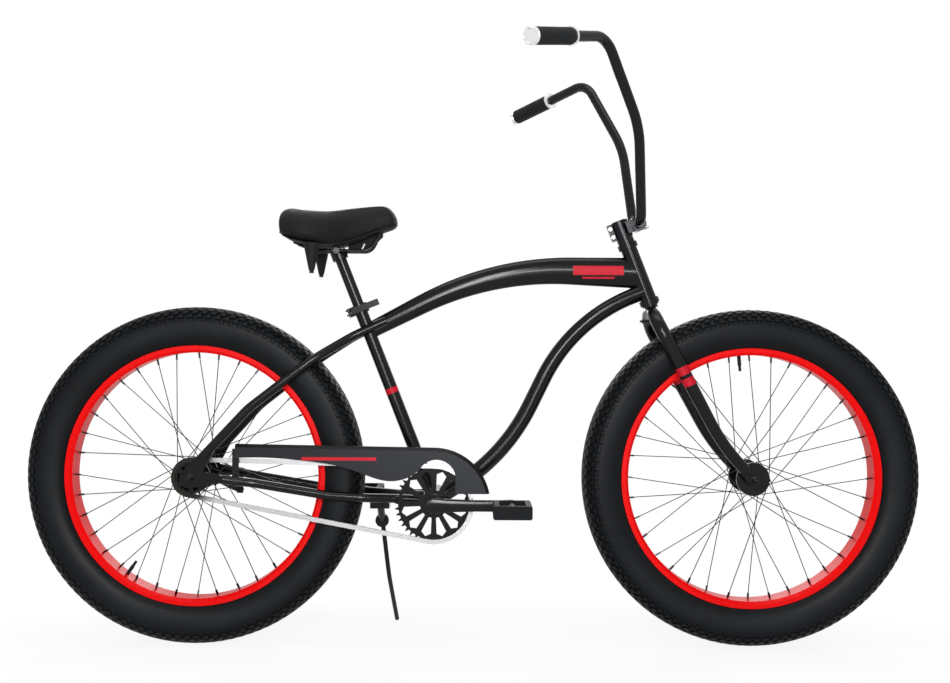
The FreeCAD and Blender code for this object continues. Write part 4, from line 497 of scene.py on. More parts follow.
AXIS_GAP = 0.0002
CAP_PROFILE = np.array([
    # distance outwards from the bar's end, radius
    (0.0, AXIS_GAP), (0.0, 0.0168), (0.0010, 0.0176), (0.0030, 0.0176), (0.0038, 0.0166),
    (0.0052, 0.0166), (0.0060, 0.0174), (0.0104, 0.0174), (0.0116, 0.0164), (0.0118, 0.0130),
    (0.0108, 0.0120), (0.0108, AXIS_GAP),
])
COLLAR_PROFILE = np.array([
    # distance inwards from the grip's inner end, radius
    (0.0, GRIP_BORE), (0.0, 0.0180), (0.0006, 0.0198), (0.0022, 0.0198), (0.0028, 0.0176),
    (0.0040, 0.0172), (0.0046, 0.0184), (0.0062, 0.0184), (0.0070, 0.0170), (0.0070, GRIP_BORE),
])


def turned_ring(start, end, profile, around=48):
    """A profile of distances and radii turned round the line from start to end, as a closed ring."""
    points = turned(start, end, profile[:, 0], profile[:, 1], around)
    return points.reshape(-1, 3), grid_faces(len(profile), around, True, True)


def grip_trim(side):
    """The beaded cap on a grip's outer end and the flanged collar on its inner end."""
    end, start = grip_run(side)
    line = along_axis(end, start)[0]
    inner = end + line * GRIP_LENGTH
    return join_parts([
        turned_ring(end, end - line, CAP_PROFILE),
        turned_ring(inner, inner + line, COLLAR_PROFILE),
    ])


CROWN_BOLT = np.array([0.383, 0.0, 0.706])
BOLT_PROFILE = np.array([
    # distance back from the fork's crown, radius
    (0.0, AXIS_GAP), (0.0, 0.0026), (0.0105, 0.0026), (0.0105, 0.0050), (0.0120, 0.0052),
    (0.0160, 0.0046), (0.0160, 0.0024), (0.0200, 0.0024), (0.0200, AXIS_GAP),
])


def crown_bolt():
    """The bolt with its nut that stands out behind the fork's crown."""
    forward = np.array([1.0, 0.0, 0.0])
    return turned_ring(CROWN_BOLT, CROWN_BOLT - forward, BOLT_PROFILE, around=24)


CRANK_CENTRE = joint_at("crank_spin")
CRANK_LENGTH = 0.165
ARM_MIDDLE = 0.0855
ARM_HALF_WALL = 0.0064
ARM_SQUARENESS = 3
ARM_TIP = 0.01
ARM_WALL_ROUNDING = 3
ARM_STATIONS = np.array([
    # distance from the spindle as a share of the crank's length, half height
    (-0.11, 0.017), (0.0, 0.017), (0.2, 0.014), (0.55, 0.0122), (0.85, 0.0126), (1.0, 0.0138),
    (1.085, 0.0138),
])
SPINDLE_PROFILE = np.array([
    # place along the spindle from right to left, radius
    (-0.0800, AXIS_GAP), (-0.0800, 0.0165), (-0.0680, 0.0175), (-0.0665, 0.0209), (-0.0616, 0.0209),
    (-0.0616, 0.0120), (0.0700, 0.0120), (0.0780, 0.0160), (0.0800, 0.0160), (0.0800, AXIS_GAP),
])


def crank_arm(side, along=60, around=40):
    """A forged arm: the section |y / w|^3 + |z / h|^3 = 1 drawn along it, its ends rounded to a tip."""
    share = ARM_STATIONS[0, 0] + np.ptp(ARM_STATIONS[:, 0]) * cosine_spacing(along)
    high = np.interp(share, ARM_STATIONS[:, 0], ARM_STATIONS[:, 1])
    ahead = share * CRANK_LENGTH
    cap = quarter_circle((ahead - ahead[0]) / high) * quarter_circle((ahead[-1] - ahead) / high)
    cap = np.maximum(cap, ARM_TIP)
    turn = np.linspace(0, FULL_TURN, around, endpoint=False)[None, :]
    squared = 2 / ARM_SQUARENESS
    half_wall = ARM_HALF_WALL * np.minimum(1, cap * ARM_WALL_ROUNDING)
    wall = half_wall[:, None] * power_wave(np.cos(turn), squared)
    rise = (high * cap)[:, None] * power_wave(np.sin(turn), squared)
    forward = np.broadcast_to(-side * ahead[:, None], rise.shape)
    points = CRANK_CENTRE + np.stack([forward, side * ARM_MIDDLE + wall, rise], axis=-1)
    return points.reshape(-1, 3), grid_faces(along, around, False, True)


def crank_forging():
    """The one-piece crank: both arms and the spindle with its drive shoulder."""
    across = np.array([0.0, 1.0, 0.0])
    spindle = turned_ring(CRANK_CENTRE, CRANK_CENTRE + across, SPINDLE_PROFILE, around=40)
    return join_parts([spindle] + [crank_arm(side) for side in SIDES])


SADDLE_REAR = np.array([-0.4215, 0.0, 0.867])
SADDLE_LENGTH = 0.2575
SADDLE_HALF = 0.113
SADDLE_STATIONS = np.array([
    # share of the length from the rear, share of the half width, skirt, shoulder and crown heights
    (0.00, 0.76, 0.016, 0.056, 0.073),
    (0.06, 0.86, 0.011, 0.054, 0.079),
    (0.20, 1.00, 0.001, 0.048, 0.076),
    (0.40, 0.86, -0.004, 0.046, 0.074),
    (0.60, 0.52, 0.004, 0.052, 0.081),
    (0.82, 0.34, 0.026, 0.062, 0.087),
    (0.94, 0.30, 0.036, 0.066, 0.088),
    (1.00, 0.24, 0.040, 0.064, 0.084),
])
# radii of the rear end and of the nose
CROWN_ENDS = (0.009, 0.034)
HEM_ENDS = (0.003, 0.006)
SIDE_ENDS = (0.004, 0.014)
# how square the section is above and below its waist: 1 is an ellipse, less is squarer
SQUARE_ACROSS = (0.8, 0.6)
SQUARE_UP = (0.72, 0.5)


def eased(share, column):
    """A cubic curve through one column of the saddle's stations, its slopes taken from their neighbours."""
    known = SADDLE_STATIONS[:, 0]
    value = SADDLE_STATIONS[:, column]
    slope = np.gradient(value, known)
    index = np.clip(np.searchsorted(known, share, side="right") - 1, 0, len(known) - 2)
    span = known[index + 1] - known[index]
    step = (share - known[index]) / span
    rise = value[index + 1] - value[index]
    leave = slope[index] * span
    arrive = slope[index + 1] * span
    bend = (leave - 2 * rise + arrive) * step**3 + (3 * rise - 2 * leave - arrive) * step**2
    return bend + leave * step + value[index]


def end_rounding(share, radii):
    """A quarter circle at the rear end and one at the nose, each with its own radius."""
    rear_radius, nose_radius = radii
    rear = quarter_circle(share * SADDLE_LENGTH / rear_radius)
    return rear * quarter_circle((1 - share) * SADDLE_LENGTH / nose_radius)


def saddle_surface(shrink, along=72, around=72):
    """The padded cover, made smaller all round by shrink, with its ends closed by quarter circles.

    Across it is W cos v, squared a little; up it is the crown above the waist and the hem below it.
    """
    share = cosine_spacing(along)
    width, skirt, shoulder, crown = (eased(share, column) for column in range(1, 5))
    half = (width * SADDLE_HALF - shrink) * end_rounding(share, SIDE_ENDS)
    skirt = skirt + shrink
    crown = crown - shrink
    waist = 0.5 * skirt + 0.5 * shoulder
    over = (crown - waist) * end_rounding(share, CROWN_ENDS)
    under = (waist - skirt) * end_rounding(share, HEM_ENDS)
    turn = np.linspace(0, FULL_TURN, around, endpoint=False)
    above = np.sin(turn) > 0
    across = half[:, None] * power_wave(np.cos(turn), np.where(above, *SQUARE_ACROSS))
    up = np.where(above, over[:, None], under[:, None])
    rise = waist[:, None] + up * power_wave(np.sin(turn), np.where(above, *SQUARE_UP))
    ahead = SADDLE_REAR[0] + shrink + share * (SADDLE_LENGTH - 2 * shrink)
    forward = np.broadcast_to(ahead[:, None], rise.shape)
    points = np.stack([forward, across, SADDLE_REAR[2] + rise], axis=-1)
    return points.reshape(-1, 3), grid_faces(along, around, False, True)


TOP_TUBE_LINE = np.array([(-0.23015, 0.6811), (0.039, 0.820), (0.3588, 0.8116)])
TOP_TUBE_BEND = 0.57
# sizes at the seat end and at the head end
TOP_TUBE_HEIGHT = (0.036, 0.068)
TOP_TUBE_WIDTH = (0.029, 0.035)


def rounded_line(corners, share, arc_points, run_points):
    """Two straight runs joined by an arc of radius d / tan(turn / 2), d a share of the shorter run."""
    first, corner, last = corners
    toward = (first - corner) / np.linalg.norm(first - corner)
    away = (last - corner) / np.linalg.norm(last - corner)
    setback = share * min(np.linalg.norm(first - corner), np.linalg.norm(last - corner))
    turn = math.pi - math.acos(float(toward @ away))
    radius = setback / math.tan(turn / 2)
    start = corner + toward * setback
    inward = (toward + away) / np.linalg.norm(toward + away)
    square = inward - toward * float(inward @ toward)
    square = square / np.linalg.norm(square)
    angle = np.linspace(0, turn, arc_points)[:, None]
    arc = start - toward * radius * np.sin(angle) + square * radius * (1 - np.cos(angle))
    run_in = np.linspace(first, arc[0], run_points)[:-1]
    run_out = np.linspace(arc[-1], last, run_points)[1:]
    return np.concatenate([run_in, arc, run_out])


def top_tube_surface(around=48):
    """The curved top tube: an oval square to a line in the mid-plane, larger towards the head."""
    line = rounded_line(TOP_TUBE_LINE, TOP_TUBE_BEND, arc_points=40, run_points=12)
    ahead = np.gradient(line, axis=0)
    ahead = ahead / np.linalg.norm(ahead, axis=1, keepdims=True)
    length = np.concatenate([[0], np.cumsum(np.linalg.norm(np.diff(line, axis=0), axis=1))])
    share = length / length[-1]
    high = np.interp(share, (0, 1), TOP_TUBE_HEIGHT)[:, None] / 2
    wide = np.interp(share, (0, 1), TOP_TUBE_WIDTH)[:, None] / 2
    turn = np.linspace(0, FULL_TURN, around, endpoint=False)[None, :]
    lift = high * np.cos(turn)
    forward = line[:, :1] - ahead[:, 1:] * lift
    upward = line[:, 1:] + ahead[:, :1] * lift
    points = np.stack([forward, wide * np.sin(turn), upward], axis=-1)
    return points.reshape(-1, 3), grid_faces(len(line), around, False, True)


PAD_VOXEL = 0.0045
PAD_PRESSURE = 4
PAD_STIFFNESS = 20
PAD_FRAMES = 20
SWELL_ROOM = 0.8


def swell(piece, most):
    """Blows the pad up as cloth under pressure, with no point moved further than the given distance."""
    voxels = piece.modifiers.new("even_mesh", "REMESH")
    voxels.mode = "VOXEL"
    voxels.voxel_size = PAD_VOXEL
    apply_modifiers(piece)
    rest = np.zeros(len(piece.data.vertices) * 3)
    piece.data.vertices.foreach_get("co", rest)
    cloth = piece.modifiers.new("padding", "CLOTH")
    cloth.settings.use_pressure = True
    cloth.settings.uniform_pressure_force = PAD_PRESSURE
    cloth.settings.effector_weights.gravity = 0
    cloth.settings.tension_stiffness = PAD_STIFFNESS
    cloth.settings.compression_stiffness = PAD_STIFFNESS
    scene = bpy.context.scene
    for moment in range(1, PAD_FRAMES + 1):
        scene.frame_set(moment)
    apply_modifiers(piece)
    scene.frame_set(1)
    moved = np.zeros(len(piece.data.vertices) * 3)
    piece.data.vertices.foreach_get("co", moved)
    shift = (moved - rest).reshape(-1, 3)
    length = np.linalg.norm(shift, axis=1, keepdims=True)
    capped = rest.reshape(-1, 3) + shift * np.minimum(1, most / np.maximum(length, 1e-9))
    piece.data.vertices.foreach_set("co", capped.ravel())
    piece.data.update()


def apply_modifiers(piece):
    """Puts what a piece's modifiers give into its mesh and removes them."""
    bpy.context.view_layer.update()
    depsgraph = bpy.context.evaluated_depsgraph_get()
    made = bpy.data.meshes.new_from_object(piece.evaluated_get(depsgraph))
    piece.modifiers.clear()
    piece.data = made


def finish_set():
    """All the finishes, by name, worked out once."""
    tones = colours()
    black = tuple(tones.frame_black)
    red = tuple(tones.stripe_red)
    return {
        "frame": gloss_paint("gloss_black_frame", black),
        "bar": gloss_paint("gloss_black_bar", shade(black, 1.3)),
        "top_tube": gloss_paint("gloss_black_top_tube", black, top_tube_stripe, red),
        "fork": gloss_paint("gloss_black_fork", black, fork_bands, red),
        "seat_tube": gloss_paint("gloss_black_seat_tube", black, seat_tube_band, red),
        "parts": gloss_paint("gloss_black_parts", shade(black, 1.6)),
        "guard": guard_paint("satin_guard", tuple(tones.guard_grey), red),
        "rim": rim_paint("red_rim", tuple(tones.rim_red)),
        "tyre": tyre_rubber("tyre_rubber", tuple(tones.tyre_black)),
        "grip": moulded_rubber("grip_rubber", shade(tones.tyre_black, 0.9), 0.55),
        "soft": moulded_rubber("black_rubber", shade(tones.tyre_black, 0.8), 0.6),
        "plastic": moulded_plastic("black_plastic", shade(tones.tyre_black, 0.9)),
        "saddle": saddle_leather("saddle_leather", tuple(tones.saddle_black)),
        "alloy": plain_metal("dark_alloy", tuple(tones.alloy_dark), 0.24),
        "steel": plain_metal("bright_steel", tuple(tones.steel), 0.30),
        "chain": chain_steel("chain_steel", tuple(tones.steel)),
        "spokes": plain_metal("black_spokes", tuple(tones.spoke_black), 0.34),
        "chrome": plain_metal("polished_chrome", tuple(tones.chrome), 0.07),
    }


TOP_TUBE_STRIPES = (
    # lower and upper edge, rear and front end
    (0.806, 0.826, 0.215, 0.325),
    (0.798, 0.802, 0.235, 0.305),
)
# forward and upward parts of an axis, and the ends of the bands along it
FORK_AXIS = (-0.44, 0.90)
FORK_BANDS = ((0.335, 0.353), (0.309, 0.327))
SEAT_TUBE_AXIS = (-0.375, 0.927)
SEAT_TUBE_BAND = (0.573, 0.585)


def top_tube_stripe(shader):
    """Two plain stripes along each side of the top tube's front end."""
    forward, _, up = shader.axes()
    wide, narrow = (
        shader.within(up, low, high, edge=0.0004) * shader.within(forward, rear, front, edge=0.0006)
        for low, high, rear, front in TOP_TUBE_STRIPES
    )
    return shader.larger(wide, narrow)


def place_along(shader, axis):
    """How far a point lies along an axis in the mid-plane."""
    forward, _, up = shader.axes()
    return up * axis[1] + forward * axis[0]


def fork_bands(shader):
    """Two plain bands round each fork leg, square to the leg."""
    along = place_along(shader, FORK_AXIS)
    upper, lower = (shader.within(along, *ends, edge=0.0006) for ends in FORK_BANDS)
    return shader.larger(upper, lower)


def seat_tube_band(shader):
    """One plain narrow band half way up the seat tube."""
    return shader.within(place_along(shader, SEAT_TUBE_AXIS), *SEAT_TUBE_BAND, edge=0.0006)


# heights and ends of the guard's stripe, then its near side and its bevel across the bicycle, which painted
# shade makes near black
GUARD_STRIPE = (0.405, 0.412)
GUARD_STRIPE_ENDS = (-0.366, -0.207)
GUARD_NEAR_SIDE = (-0.071, -0.069)
GUARD_SHADED_BEVEL = (-0.0724, -0.0722)
# where a painted sheen makes the guard lighter along its length, towards the front
GUARD_PAINTED_SHEEN = (-0.35, 0.02)


def guard_paint(name, colour, mark_colour):
    """Satin paint: fine grain, painted sheen lighter ahead, black painted shade on the bevel, a plain
    stripe on the tail.
    """
    shader = Shader(name)
    forward, side, up = shader.axes()
    stripe = shader.within(up, *GUARD_STRIPE, edge=0.0005)
    stripe = stripe * shader.within(forward, *GUARD_STRIPE_ENDS, edge=0.0008)
    stripe = stripe * (1 - shader.step(side, *GUARD_NEAR_SIDE))
    grain = shader.noise(900, detail=2.0)
    cloud = shader.noise(9, detail=2.0)
    # painted sheen: the guard is painted lighter towards its front, with a little random cloud
    ahead = shader.step(forward, *GUARD_PAINTED_SHEEN)
    tint = shader.blend(shade(colour, 0.6), shade(colour, 1.7), ahead * 0.8 + cloud * 0.2)
    tint = shader.blend(tint, mark_colour, stripe)
    # painted shade: the bevelled edge is painted near black
    tint = shader.blend(tint, shade(colour, 0.15), shader.step(side, *GUARD_SHADED_BEVEL))
    return shader.finish(tint, 0.36 + cloud * 0.08, grain, depth=0.00003, Specular_IOR_Level=0.16)


# radii across which painted shade deepens the red in the bead's corner
RIM_PAINTED_SHADE = (0.2835, 0.2862)


def rim_paint(name, colour):
    """Bright red gloss paint, with painted shade making it deeper in the bead's corner."""
    shader = Shader(name)
    radius = shader.wheel_radius()
    haze = shader.noise(20, detail=2.0)
    peel = shader.noise(420, detail=1.0)
    # painted shade: the red is darkened in the bead's corner
    edge = shader.step(radius, *RIM_PAINTED_SHADE)
    tint = shader.blend(shade(colour, 0.92), colour, haze)
    tint = shader.blend(tint, shade(colour, 0.55), edge)
    return shader.finish(tint, 0.30 + haze * 0.08, peel, depth=0.00003, Specular_IOR_Level=0.12)


# radii on the tyre
WALL_RINGS = (0.289, 0.338)
LOW_RIDGE = (0.2925, 0.2945)
HIGH_RIDGE = (0.3335, 0.3350)
# radii of a pale band of painted sheen on the sidewall
PAINTED_SHEEN_BAND = (0.308, 0.322)
DUSTY_TREAD = (0.356, 0.367)
RING_PITCH = 0.0022
DUST_GREY = (0.045, 0.043, 0.040)


def tyre_rubber(name, colour):
    """Black rubber: fine moulded rings and a painted pale sheen band on the sidewall, a dusty tread and a
    soft sheen.
    """
    shader = Shader(name)
    radius = shader.wheel_radius()
    wall = shader.within(radius, *WALL_RINGS, edge=0.001)
    rings = shader.wave(radius * (FULL_TURN / RING_PITCH)) * wall
    low_ridge, high_ridge = (shader.within(radius, *ends, edge=0.0004) for ends in (LOW_RIDGE, HIGH_RIDGE))
    grain = shader.noise(1100, detail=3.0)
    cloud = shader.noise(30, detail=3.0)
    dust = shader.step(radius, *DUSTY_TREAD) * shader.step(cloud, 0.35, 0.75)
    # painted sheen: the bloom mask here is a pale band of painted sheen on the sidewall, in patches
    sheen_patches = shader.step(shader.noise(5, detail=2.0), 0.35, 0.65)
    bloom = shader.within(radius, *PAINTED_SHEEN_BAND, edge=0.012) * sheen_patches
    tint = shader.blend(shade(colour, 0.7), shade(colour, 1.2), cloud)
    tint = shader.blend(tint, shade(colour, 4.0), bloom * 0.8)
    tint = shader.blend(tint, DUST_GREY, dust * 0.6)
    relief = rings * 0.12 + (low_ridge + high_ridge) + grain * 0.45
    return shader.finish(tint, 0.36 + cloud * 0.14, relief, depth=0.0002, Specular_IOR_Level=0.11)


def moulded_rubber(name, colour, roughness):
    """Soft black rubber with a fine tooth and a bloom of grey."""
    shader = Shader(name)
    bloom = shader.noise(60, detail=3.0)
    tooth = shader.noise(1500, detail=2.0)
    tint = shader.blend(shade(colour, 0.8), shade(colour, 1.6), bloom)
    return shader.finish(tint, roughness + bloom * 0.12, tooth, depth=0.00006, Specular_IOR_Level=0.2)


def moulded_plastic(name, colour):
    """Black plastic with a spark-eroded grain."""
    shader = Shader(name)
    grain = shader.cells(1300, "F1")
    cloud = shader.noise(25, detail=2.0)
    tint = shader.blend(shade(colour, 0.85), shade(colour, 1.3), cloud)
    return shader.finish(tint, 0.55 + cloud * 0.14, grain, depth=0.00005, Specular_IOR_Level=0.12)


WORN_HEIGHTS = (0.915, 0.955)


def saddle_leather(name, colour):
    """Leather-like cover: pebbled cells with creases between them, worn a little smoother on top."""
    shader = Shader(name)
    up = shader.axes()[2]
    wander = shader.noise(220, detail=2.0)
    pebble = shader.cells(620, "DISTANCE_TO_EDGE")
    crease = 1 - shader.step(pebble, 0.02, 0.16)
    worn = shader.step(up, *WORN_HEIGHTS)
    cloud = shader.noise(18, detail=3.0)
    tint = shader.blend(shade(colour, 1.35), shade(colour, 0.55), crease)
    tint = shader.blend(tint, shade(colour, 1.9), cloud * 0.5)
    rough = 0.46 + cloud * 0.10 + crease * 0.12 - worn * 0.06
    relief = wander * 0.3 - crease * 0.7
    return shader.finish(tint, rough, relief, depth=0.00022, Specular_IOR_Level=0.13)


# radii round the rear axle within which the chain is made darker
SPROCKET_DARK_RADII = (0.044, 0.075)
CHAIN_DARK_BROWN = (0.02, 0.019, 0.017)


def chain_steel(name, colour):
    """Bright chain plates with oily dark patches where the noise says so, and darker round the small
    sprocket.
    """
    shader = Shader(name)
    forward, _, up = shader.axes()
    back = forward - WHEELS["rear"][0]
    rise = up - WHEELS["rear"][2]
    away = (back * back + rise * rise) ** 0.5
    oil_and_sprocket_dark = shader.step(shader.noise(170, detail=3.0), 0.52, 0.72) * 0.35
    # darker where the chain wraps the small sprocket, on top of the random oily patches
    oil_and_sprocket_dark = shader.larger(oil_and_sprocket_dark, 1 - shader.step(away, *SPROCKET_DARK_RADII))
    smear = shader.noise(500, detail=2.0)
    tint = shader.blend(colour, CHAIN_DARK_BROWN, oil_and_sprocket_dark)
    rough = 0.26 + oil_and_sprocket_dark * 0.2 + smear * 0.08
    return shader.finish(tint, rough, smear, depth=0.00003, Metallic=1.0)


NODE_FINISHES = {
    "frame": (
        "head_tube", "down_tube", "bottom_bracket_shell", "chainstays", "seatstays", "rear_dropouts",
        "headset_cups", "kickstand_mount", "brake_arm", "fork_dropouts",
    ),
    "top_tube": ("top_tube",),
    "seat_tube": ("seat_tube",),
    "fork": ("fork_legs",),
    "bar": ("handlebar",),
    "parts": (
        "crank", "chainring", "front_hub", "rear_hub", "kickstand_leg", "seat_post", "saddle_rails",
        "headset_spacer", "front_axle_nuts", "rear_axle_nuts", "rear_sprocket", "hub_driver", "front_axle",
        "rear_axle", "seat_clamp", "seat_clamp_lever", "headset_bearings", "steerer_tube",
    ),
    "guard": ("chain_guard", "chain_guard_brackets"),
    "rim": ("front_rim", "rear_rim"),
    "tyre": ("front_tyre", "rear_tyre"),
    "grip": ("grips",),
    "soft": ("front_valve", "rear_valve", "saddle_bumpers"),
    "plastic": ("right_pedal", "left_pedal", "saddle_pan"),
    "saddle": ("saddle_cover",),
    "alloy": ("stem", "stem_faceplate"),
    "steel": (
        "crank_cones", "bottom_bracket_cups", "front_hub_bearings", "rear_hub_bearings", "stem_bolts",
        "pedal_spindles",
    ),
    "chain": ("chain",),
    "spokes": ("front_spokes", "rear_spokes", "front_nipples", "rear_nipples"),
    "chrome": ("grip_trims",),
}


FINISH_NAMES = {}


def finish_named(name):
    """A finish that the first operator has made."""
    return bpy.data.materials[FINISH_NAMES[name]]


class CRUISER_OT_finishes(bpy.types.Operator):
    """Makes the finishes and paints every solid of the bicycle"""

    bl_idname = "cruiser.finishes"
    bl_label = "Finishes"

    def execute(self, context):
        made = finish_set()
        FINISH_NAMES.update({word: material.name for word, material in made.items()})
        painted = set()
        for word, names in NODE_FINISHES.items():
            for name in names:
                solid = frame["nodes"][name]
                solid.data.materials.clear()
                solid.data.materials.append(made[word])
                painted.add(name)
        bare = sorted(set(frame["nodes"]) - painted)
        if bare:
            raise ValueError(f"no finish for {bare}")
        return {"FINISHED"}


class CRUISER_OT_tyres(bpy.types.Operator):
    """Makes both tyres with their moulded tread"""

    bl_idname = "cruiser.tyres"
    bl_label = "Tyres"

    def execute(self, context):
        for end, centre in WHEELS.items():
            points, faces = join_parts([tyre_casing(centre), tread_blocks(centre)])
            piece = put_piece(
                f"{end}_tyre_moulded", points, faces, finish_named("tyre"), f"{end}_wheel", crease=38
            )
            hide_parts(f"{end}_tyre")
        return {"FINISHED"}


class CRUISER_OT_grips(bpy.types.Operator):
    """Makes the ribbed rubber grips"""

    bl_idname = "cruiser.grips"
    bl_label = "Grips"

    def execute(self, context):
        points, faces = join_parts([grip_sleeve(side) for side in SIDES])
        piece = put_piece("ribbed_grips", points, faces, finish_named("grip"), "fork", crease=50)
        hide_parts("grips")
        return {"FINISHED"}


class CRUISER_OT_trims(bpy.types.Operator):
    """Makes the chrome caps and collars of the grips, and the bolt behind the fork's crown"""

    bl_idname = "cruiser.trims"
    bl_label = "Trims"

    def execute(self, context):
        points, faces = join_parts([grip_trim(side) for side in SIDES])
        piece = put_piece("turned_trims", points, faces, finish_named("chrome"), "fork", crease=30)
        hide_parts("grip_trims")
        points, faces = crown_bolt()
        bolt = put_piece("crown_bolt", points, faces, finish_named("parts"), "fork", crease=30)
        return {"FINISHED"}


class CRUISER_OT_crank(bpy.types.Operator):
    """Makes the forged one-piece crank"""

    bl_idname = "cruiser.crank"
    bl_label = "Crank"

    def execute(self, context):
        points, faces = crank_forging()
        piece = put_piece("forged_crank", points, faces, finish_named("parts"), "crank", crease=40)
        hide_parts("crank")
        return {"FINISHED"}


class CRUISER_OT_top_tube(bpy.types.Operator):
    """Makes the smooth oval top tube"""

    bl_idname = "cruiser.top_tube"
    bl_label = "Top tube"

    def execute(self, context):
        points, faces = top_tube_surface()
        piece = put_piece("smooth_top_tube", points, faces, finish_named("top_tube"), "frame")
        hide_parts("top_tube")
        return {"FINISHED"}


class CRUISER_OT_saddle(bpy.types.Operator):
    """Makes the padded saddle cover as cloth blown up by its padding"""

    bl_idname = "cruiser.saddle"
    bl_label = "Saddle"

    def execute(self, context):
        swelling = sizes().saddle_swell
        points, faces = saddle_surface(swelling * SWELL_ROOM)
        piece = put_piece("saddle_padding", points, faces, finish_named("saddle"), "seat")
        swell(piece, swelling)
        piece.data.polygons.foreach_set("use_smooth", np.full(len(piece.data.polygons), True))
        if not piece.data.materials:
            piece.data.materials.append(finish_named("saddle"))
        rounding = piece.modifiers.new("rounding", "SUBSURF")
        rounding.levels = 1
        rounding.render_levels = 1
        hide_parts("saddle_cover")
        return {"FINISHED"}


def soft_lamp(name, place, aim, width, height, watts):
    """A rectangular lamp that faces a point."""
    data = bpy.data.lights.new(name, "AREA")
    data.shape = "RECTANGLE"
    data.size = width
    data.size_y = height
    data.energy = watts
    lamp = bpy.data.objects.new(name, data)
    lamp.location = place
    lamp.rotation_euler = (Vector(aim) - Vector(place)).to_track_quat("-Z", "Y").to_euler()
    bpy.context.scene.collection.objects.link(lamp)


def seen_white(tree):
    """A mix factor: 1 where the camera, a reflection or a glass ray sees a surface, and 0 for light."""
    path = tree.nodes.new("ShaderNodeLightPath")
    total = path.outputs["Is Camera Ray"]
    for word in ("Is Glossy Ray", "Is Transmission Ray"):
        node = tree.nodes.new("ShaderNodeMath")
        node.operation = "MAXIMUM"
        tree.links.new(total, node.inputs[0])
        tree.links.new(path.outputs[word], node.inputs[1])
        total = node.outputs[0]
    return total


SKY_TINT = (0.95, 0.97, 1.0)
SKY_STRENGTH = 0.25
WHITE = (1.0, 1.0, 1.0)


def white_world():
    """Soft even light, seen as plain white behind the object."""
    world = bpy.data.worlds.new("white_studio")
    world.use_nodes = True
    bpy.context.scene.world = world
    tree = world.node_tree
    tree.nodes.clear()
    light = tree.nodes.new("ShaderNodeBackground")
    light.inputs["Color"].default_value = opaque(SKY_TINT)
    light.inputs["Strength"].default_value = SKY_STRENGTH
    white = tree.nodes.new("ShaderNodeBackground")
    white.inputs["Color"].default_value = opaque(WHITE)
    white.inputs["Strength"].default_value = 1.0
    mix = tree.nodes.new("ShaderNodeMixShader")
    tree.links.new(seen_white(tree), mix.inputs[0])
    tree.links.new(light.outputs[0], mix.inputs[1])
    tree.links.new(white.outputs[0], mix.inputs[2])
    output = tree.nodes.new("ShaderNodeOutputWorld")
    tree.links.new(mix.outputs[0], output.inputs["Surface"])


FLOOR_GREY = (0.86, 0.86, 0.86)
FLOOR_HALF = 7.0
# the shadow's half length and half width on the floor, where it fades, and how strong it is
SHADOW_LENGTH = 1.25
SHADOW_WIDTH = 0.45
SHADOW_FADE = (0.6, 1.0)
SHADOW_STRENGTH = 0.12


def pale_floor():
    """A large pale floor that stays white to the camera and still takes a faint shadow."""
    shader = Shader("pale_floor")
    shader.finish(FLOOR_GREY, 0.9, Specular_IOR_Level=0.0)
    forward, side, _ = shader.axes()
    away = ((forward / SHADOW_LENGTH) ** 2 + (side / SHADOW_WIDTH) ** 2) ** 0.5
    clear = shader.step(away, *SHADOW_FADE) * SHADOW_STRENGTH + (1 - SHADOW_STRENGTH)
    tree = shader.tree
    glow = shader.add("Emission", None, {"Color": opaque(WHITE), "Strength": 1.0})
    mix = shader.add("MixShader", None, {0: clear * Term(shader, seen_white(tree))})
    tree.links.new(shader.surface.outputs[0], mix.inputs[1])
    tree.links.new(glow.outputs[0], mix.inputs[2])
    tree.links.new(mix.outputs[0], tree.nodes["Material Output"].inputs["Surface"])
    reach = np.linspace(-FLOOR_HALF, FLOOR_HALF, 3)
    grid = np.stack(np.meshgrid(reach, reach, [0.0], indexing="ij"), axis=-1).reshape(-1, 3)
    mesh = bpy.data.meshes.new("floor")
    mesh.from_pydata(grid.tolist(), [], grid_faces(3, 3, False, False).tolist())
    mesh.materials.append(shader.material)
    floor = bpy.data.objects.new("floor", mesh)
    bpy.context.scene.collection.objects.link(floor)


LAMPS = (
    # name, place, point it faces, width, height, watts
    ("key_level", (-0.1, -2.9, 1.2), (0.0, 0.0, 0.6), 2.0, 0.14, 38),
    ("key_upright", (-0.1, -2.9, 1.2), (0.0, 0.0, 0.6), 0.22, 1.6, 48),
    ("top", (0.0, -0.6, 3.4), (0.0, 0.0, 0.5), 2.6, 1.2, 30),
    ("back", (0.4, 2.9, 1.9), (0.0, 0.0, 0.6), 2.8, 1.6, 50),
)
# the lens and its sensor are in millimetres
SENSOR_WIDTH = 36.0
FOCAL_LENGTH = 45.0
CAMERA_FORWARD = 0.0022
CAMERA_ROLL = math.radians(-0.3)


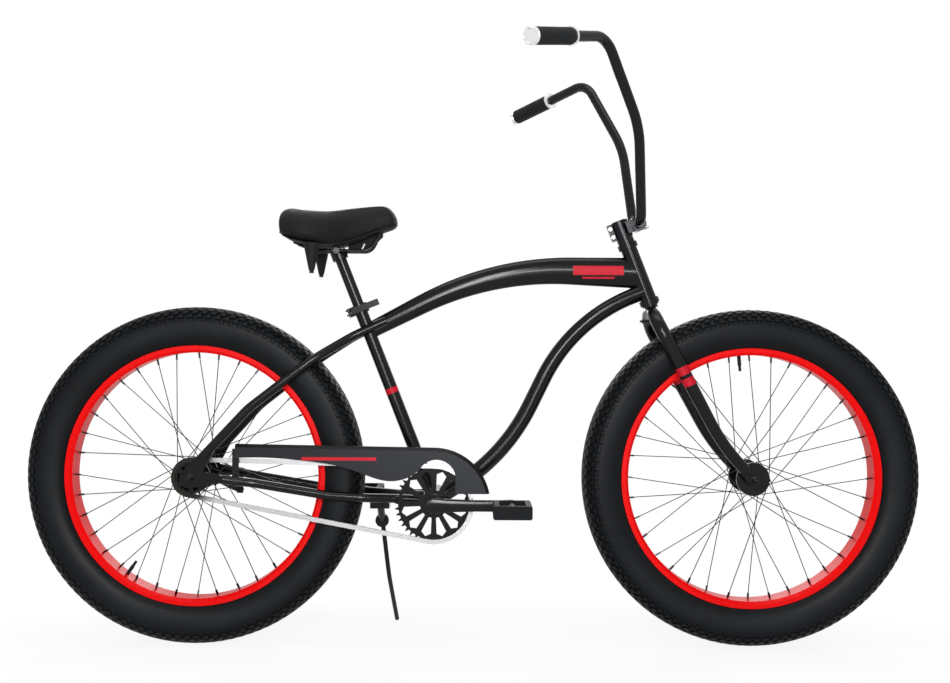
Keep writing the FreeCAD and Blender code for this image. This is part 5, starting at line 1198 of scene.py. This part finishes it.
class CRUISER_OT_stage(bpy.types.Operator):
    """Sets the floor, the soft light and the camera"""

    bl_idname = "cruiser.stage"
    bl_label = "Stage"

    def execute(self, context):
        white_world()
        pale_floor()
        for lamp in LAMPS:
            soft_lamp(*lamp)
        lens = bpy.data.cameras.new("camera")
        lens.sensor_width = SENSOR_WIDTH
        lens.lens = FOCAL_LENGTH
        camera = bpy.data.objects.new("camera", lens)
        camera.location = (CAMERA_FORWARD, -sizes().camera_distance, sizes().camera_height)
        camera.rotation_euler = (math.pi / 2, CAMERA_ROLL, 0.0)
        context.scene.collection.objects.link(camera)
        context.scene.camera = camera
        context.scene.view_settings.view_transform = "Standard"
        return {"FINISHED"}


PIECES = (
    CRUISER_OT_finishes, CRUISER_OT_tyres, CRUISER_OT_grips, CRUISER_OT_trims, CRUISER_OT_crank,
    CRUISER_OT_top_tube, CRUISER_OT_saddle, CRUISER_OT_stage,
)


class CRUISER_PT_panel(bpy.types.Panel):
    """Lists the pieces of the bicycle's looks"""

    bl_idname = "CRUISER_PT_panel"
    bl_label = "Beach cruiser"
    bl_space_type = "VIEW_3D"
    bl_region_type = "UI"
    bl_category = "Cruiser"

    def draw(self, context):
        for piece in PIECES:
            self.layout.operator(piece.bl_idname)
        for group in (colours(), sizes()):
            for word in group.__annotations__:
                self.layout.prop(group, word)


CLASSES = (CruiserColours, CruiserSizes, *PIECES, CRUISER_PT_panel)


def register():
    """Makes the classes and settings known to Blender."""
    for kind in CLASSES:
        bpy.utils.register_class(kind)
    bpy.types.Scene.cruiser_colours = PointerProperty(type=CruiserColours)
    bpy.types.Scene.cruiser_sizes = PointerProperty(type=CruiserSizes)


def unregister():
    """Takes the classes and settings away again."""
    del bpy.types.Scene.cruiser_sizes
    del bpy.types.Scene.cruiser_colours
    for kind in reversed(CLASSES):
        bpy.utils.unregister_class(kind)


def main():
    """Makes every piece in order."""
    register()
    bpy.ops.cruiser.finishes()
    bpy.ops.cruiser.tyres()
    bpy.ops.cruiser.grips()
    bpy.ops.cruiser.trims()
    bpy.ops.cruiser.crank()
    bpy.ops.cruiser.top_tube()
    bpy.ops.cruiser.saddle()
    bpy.ops.cruiser.stage()


if __name__ == "__main__":
    main()
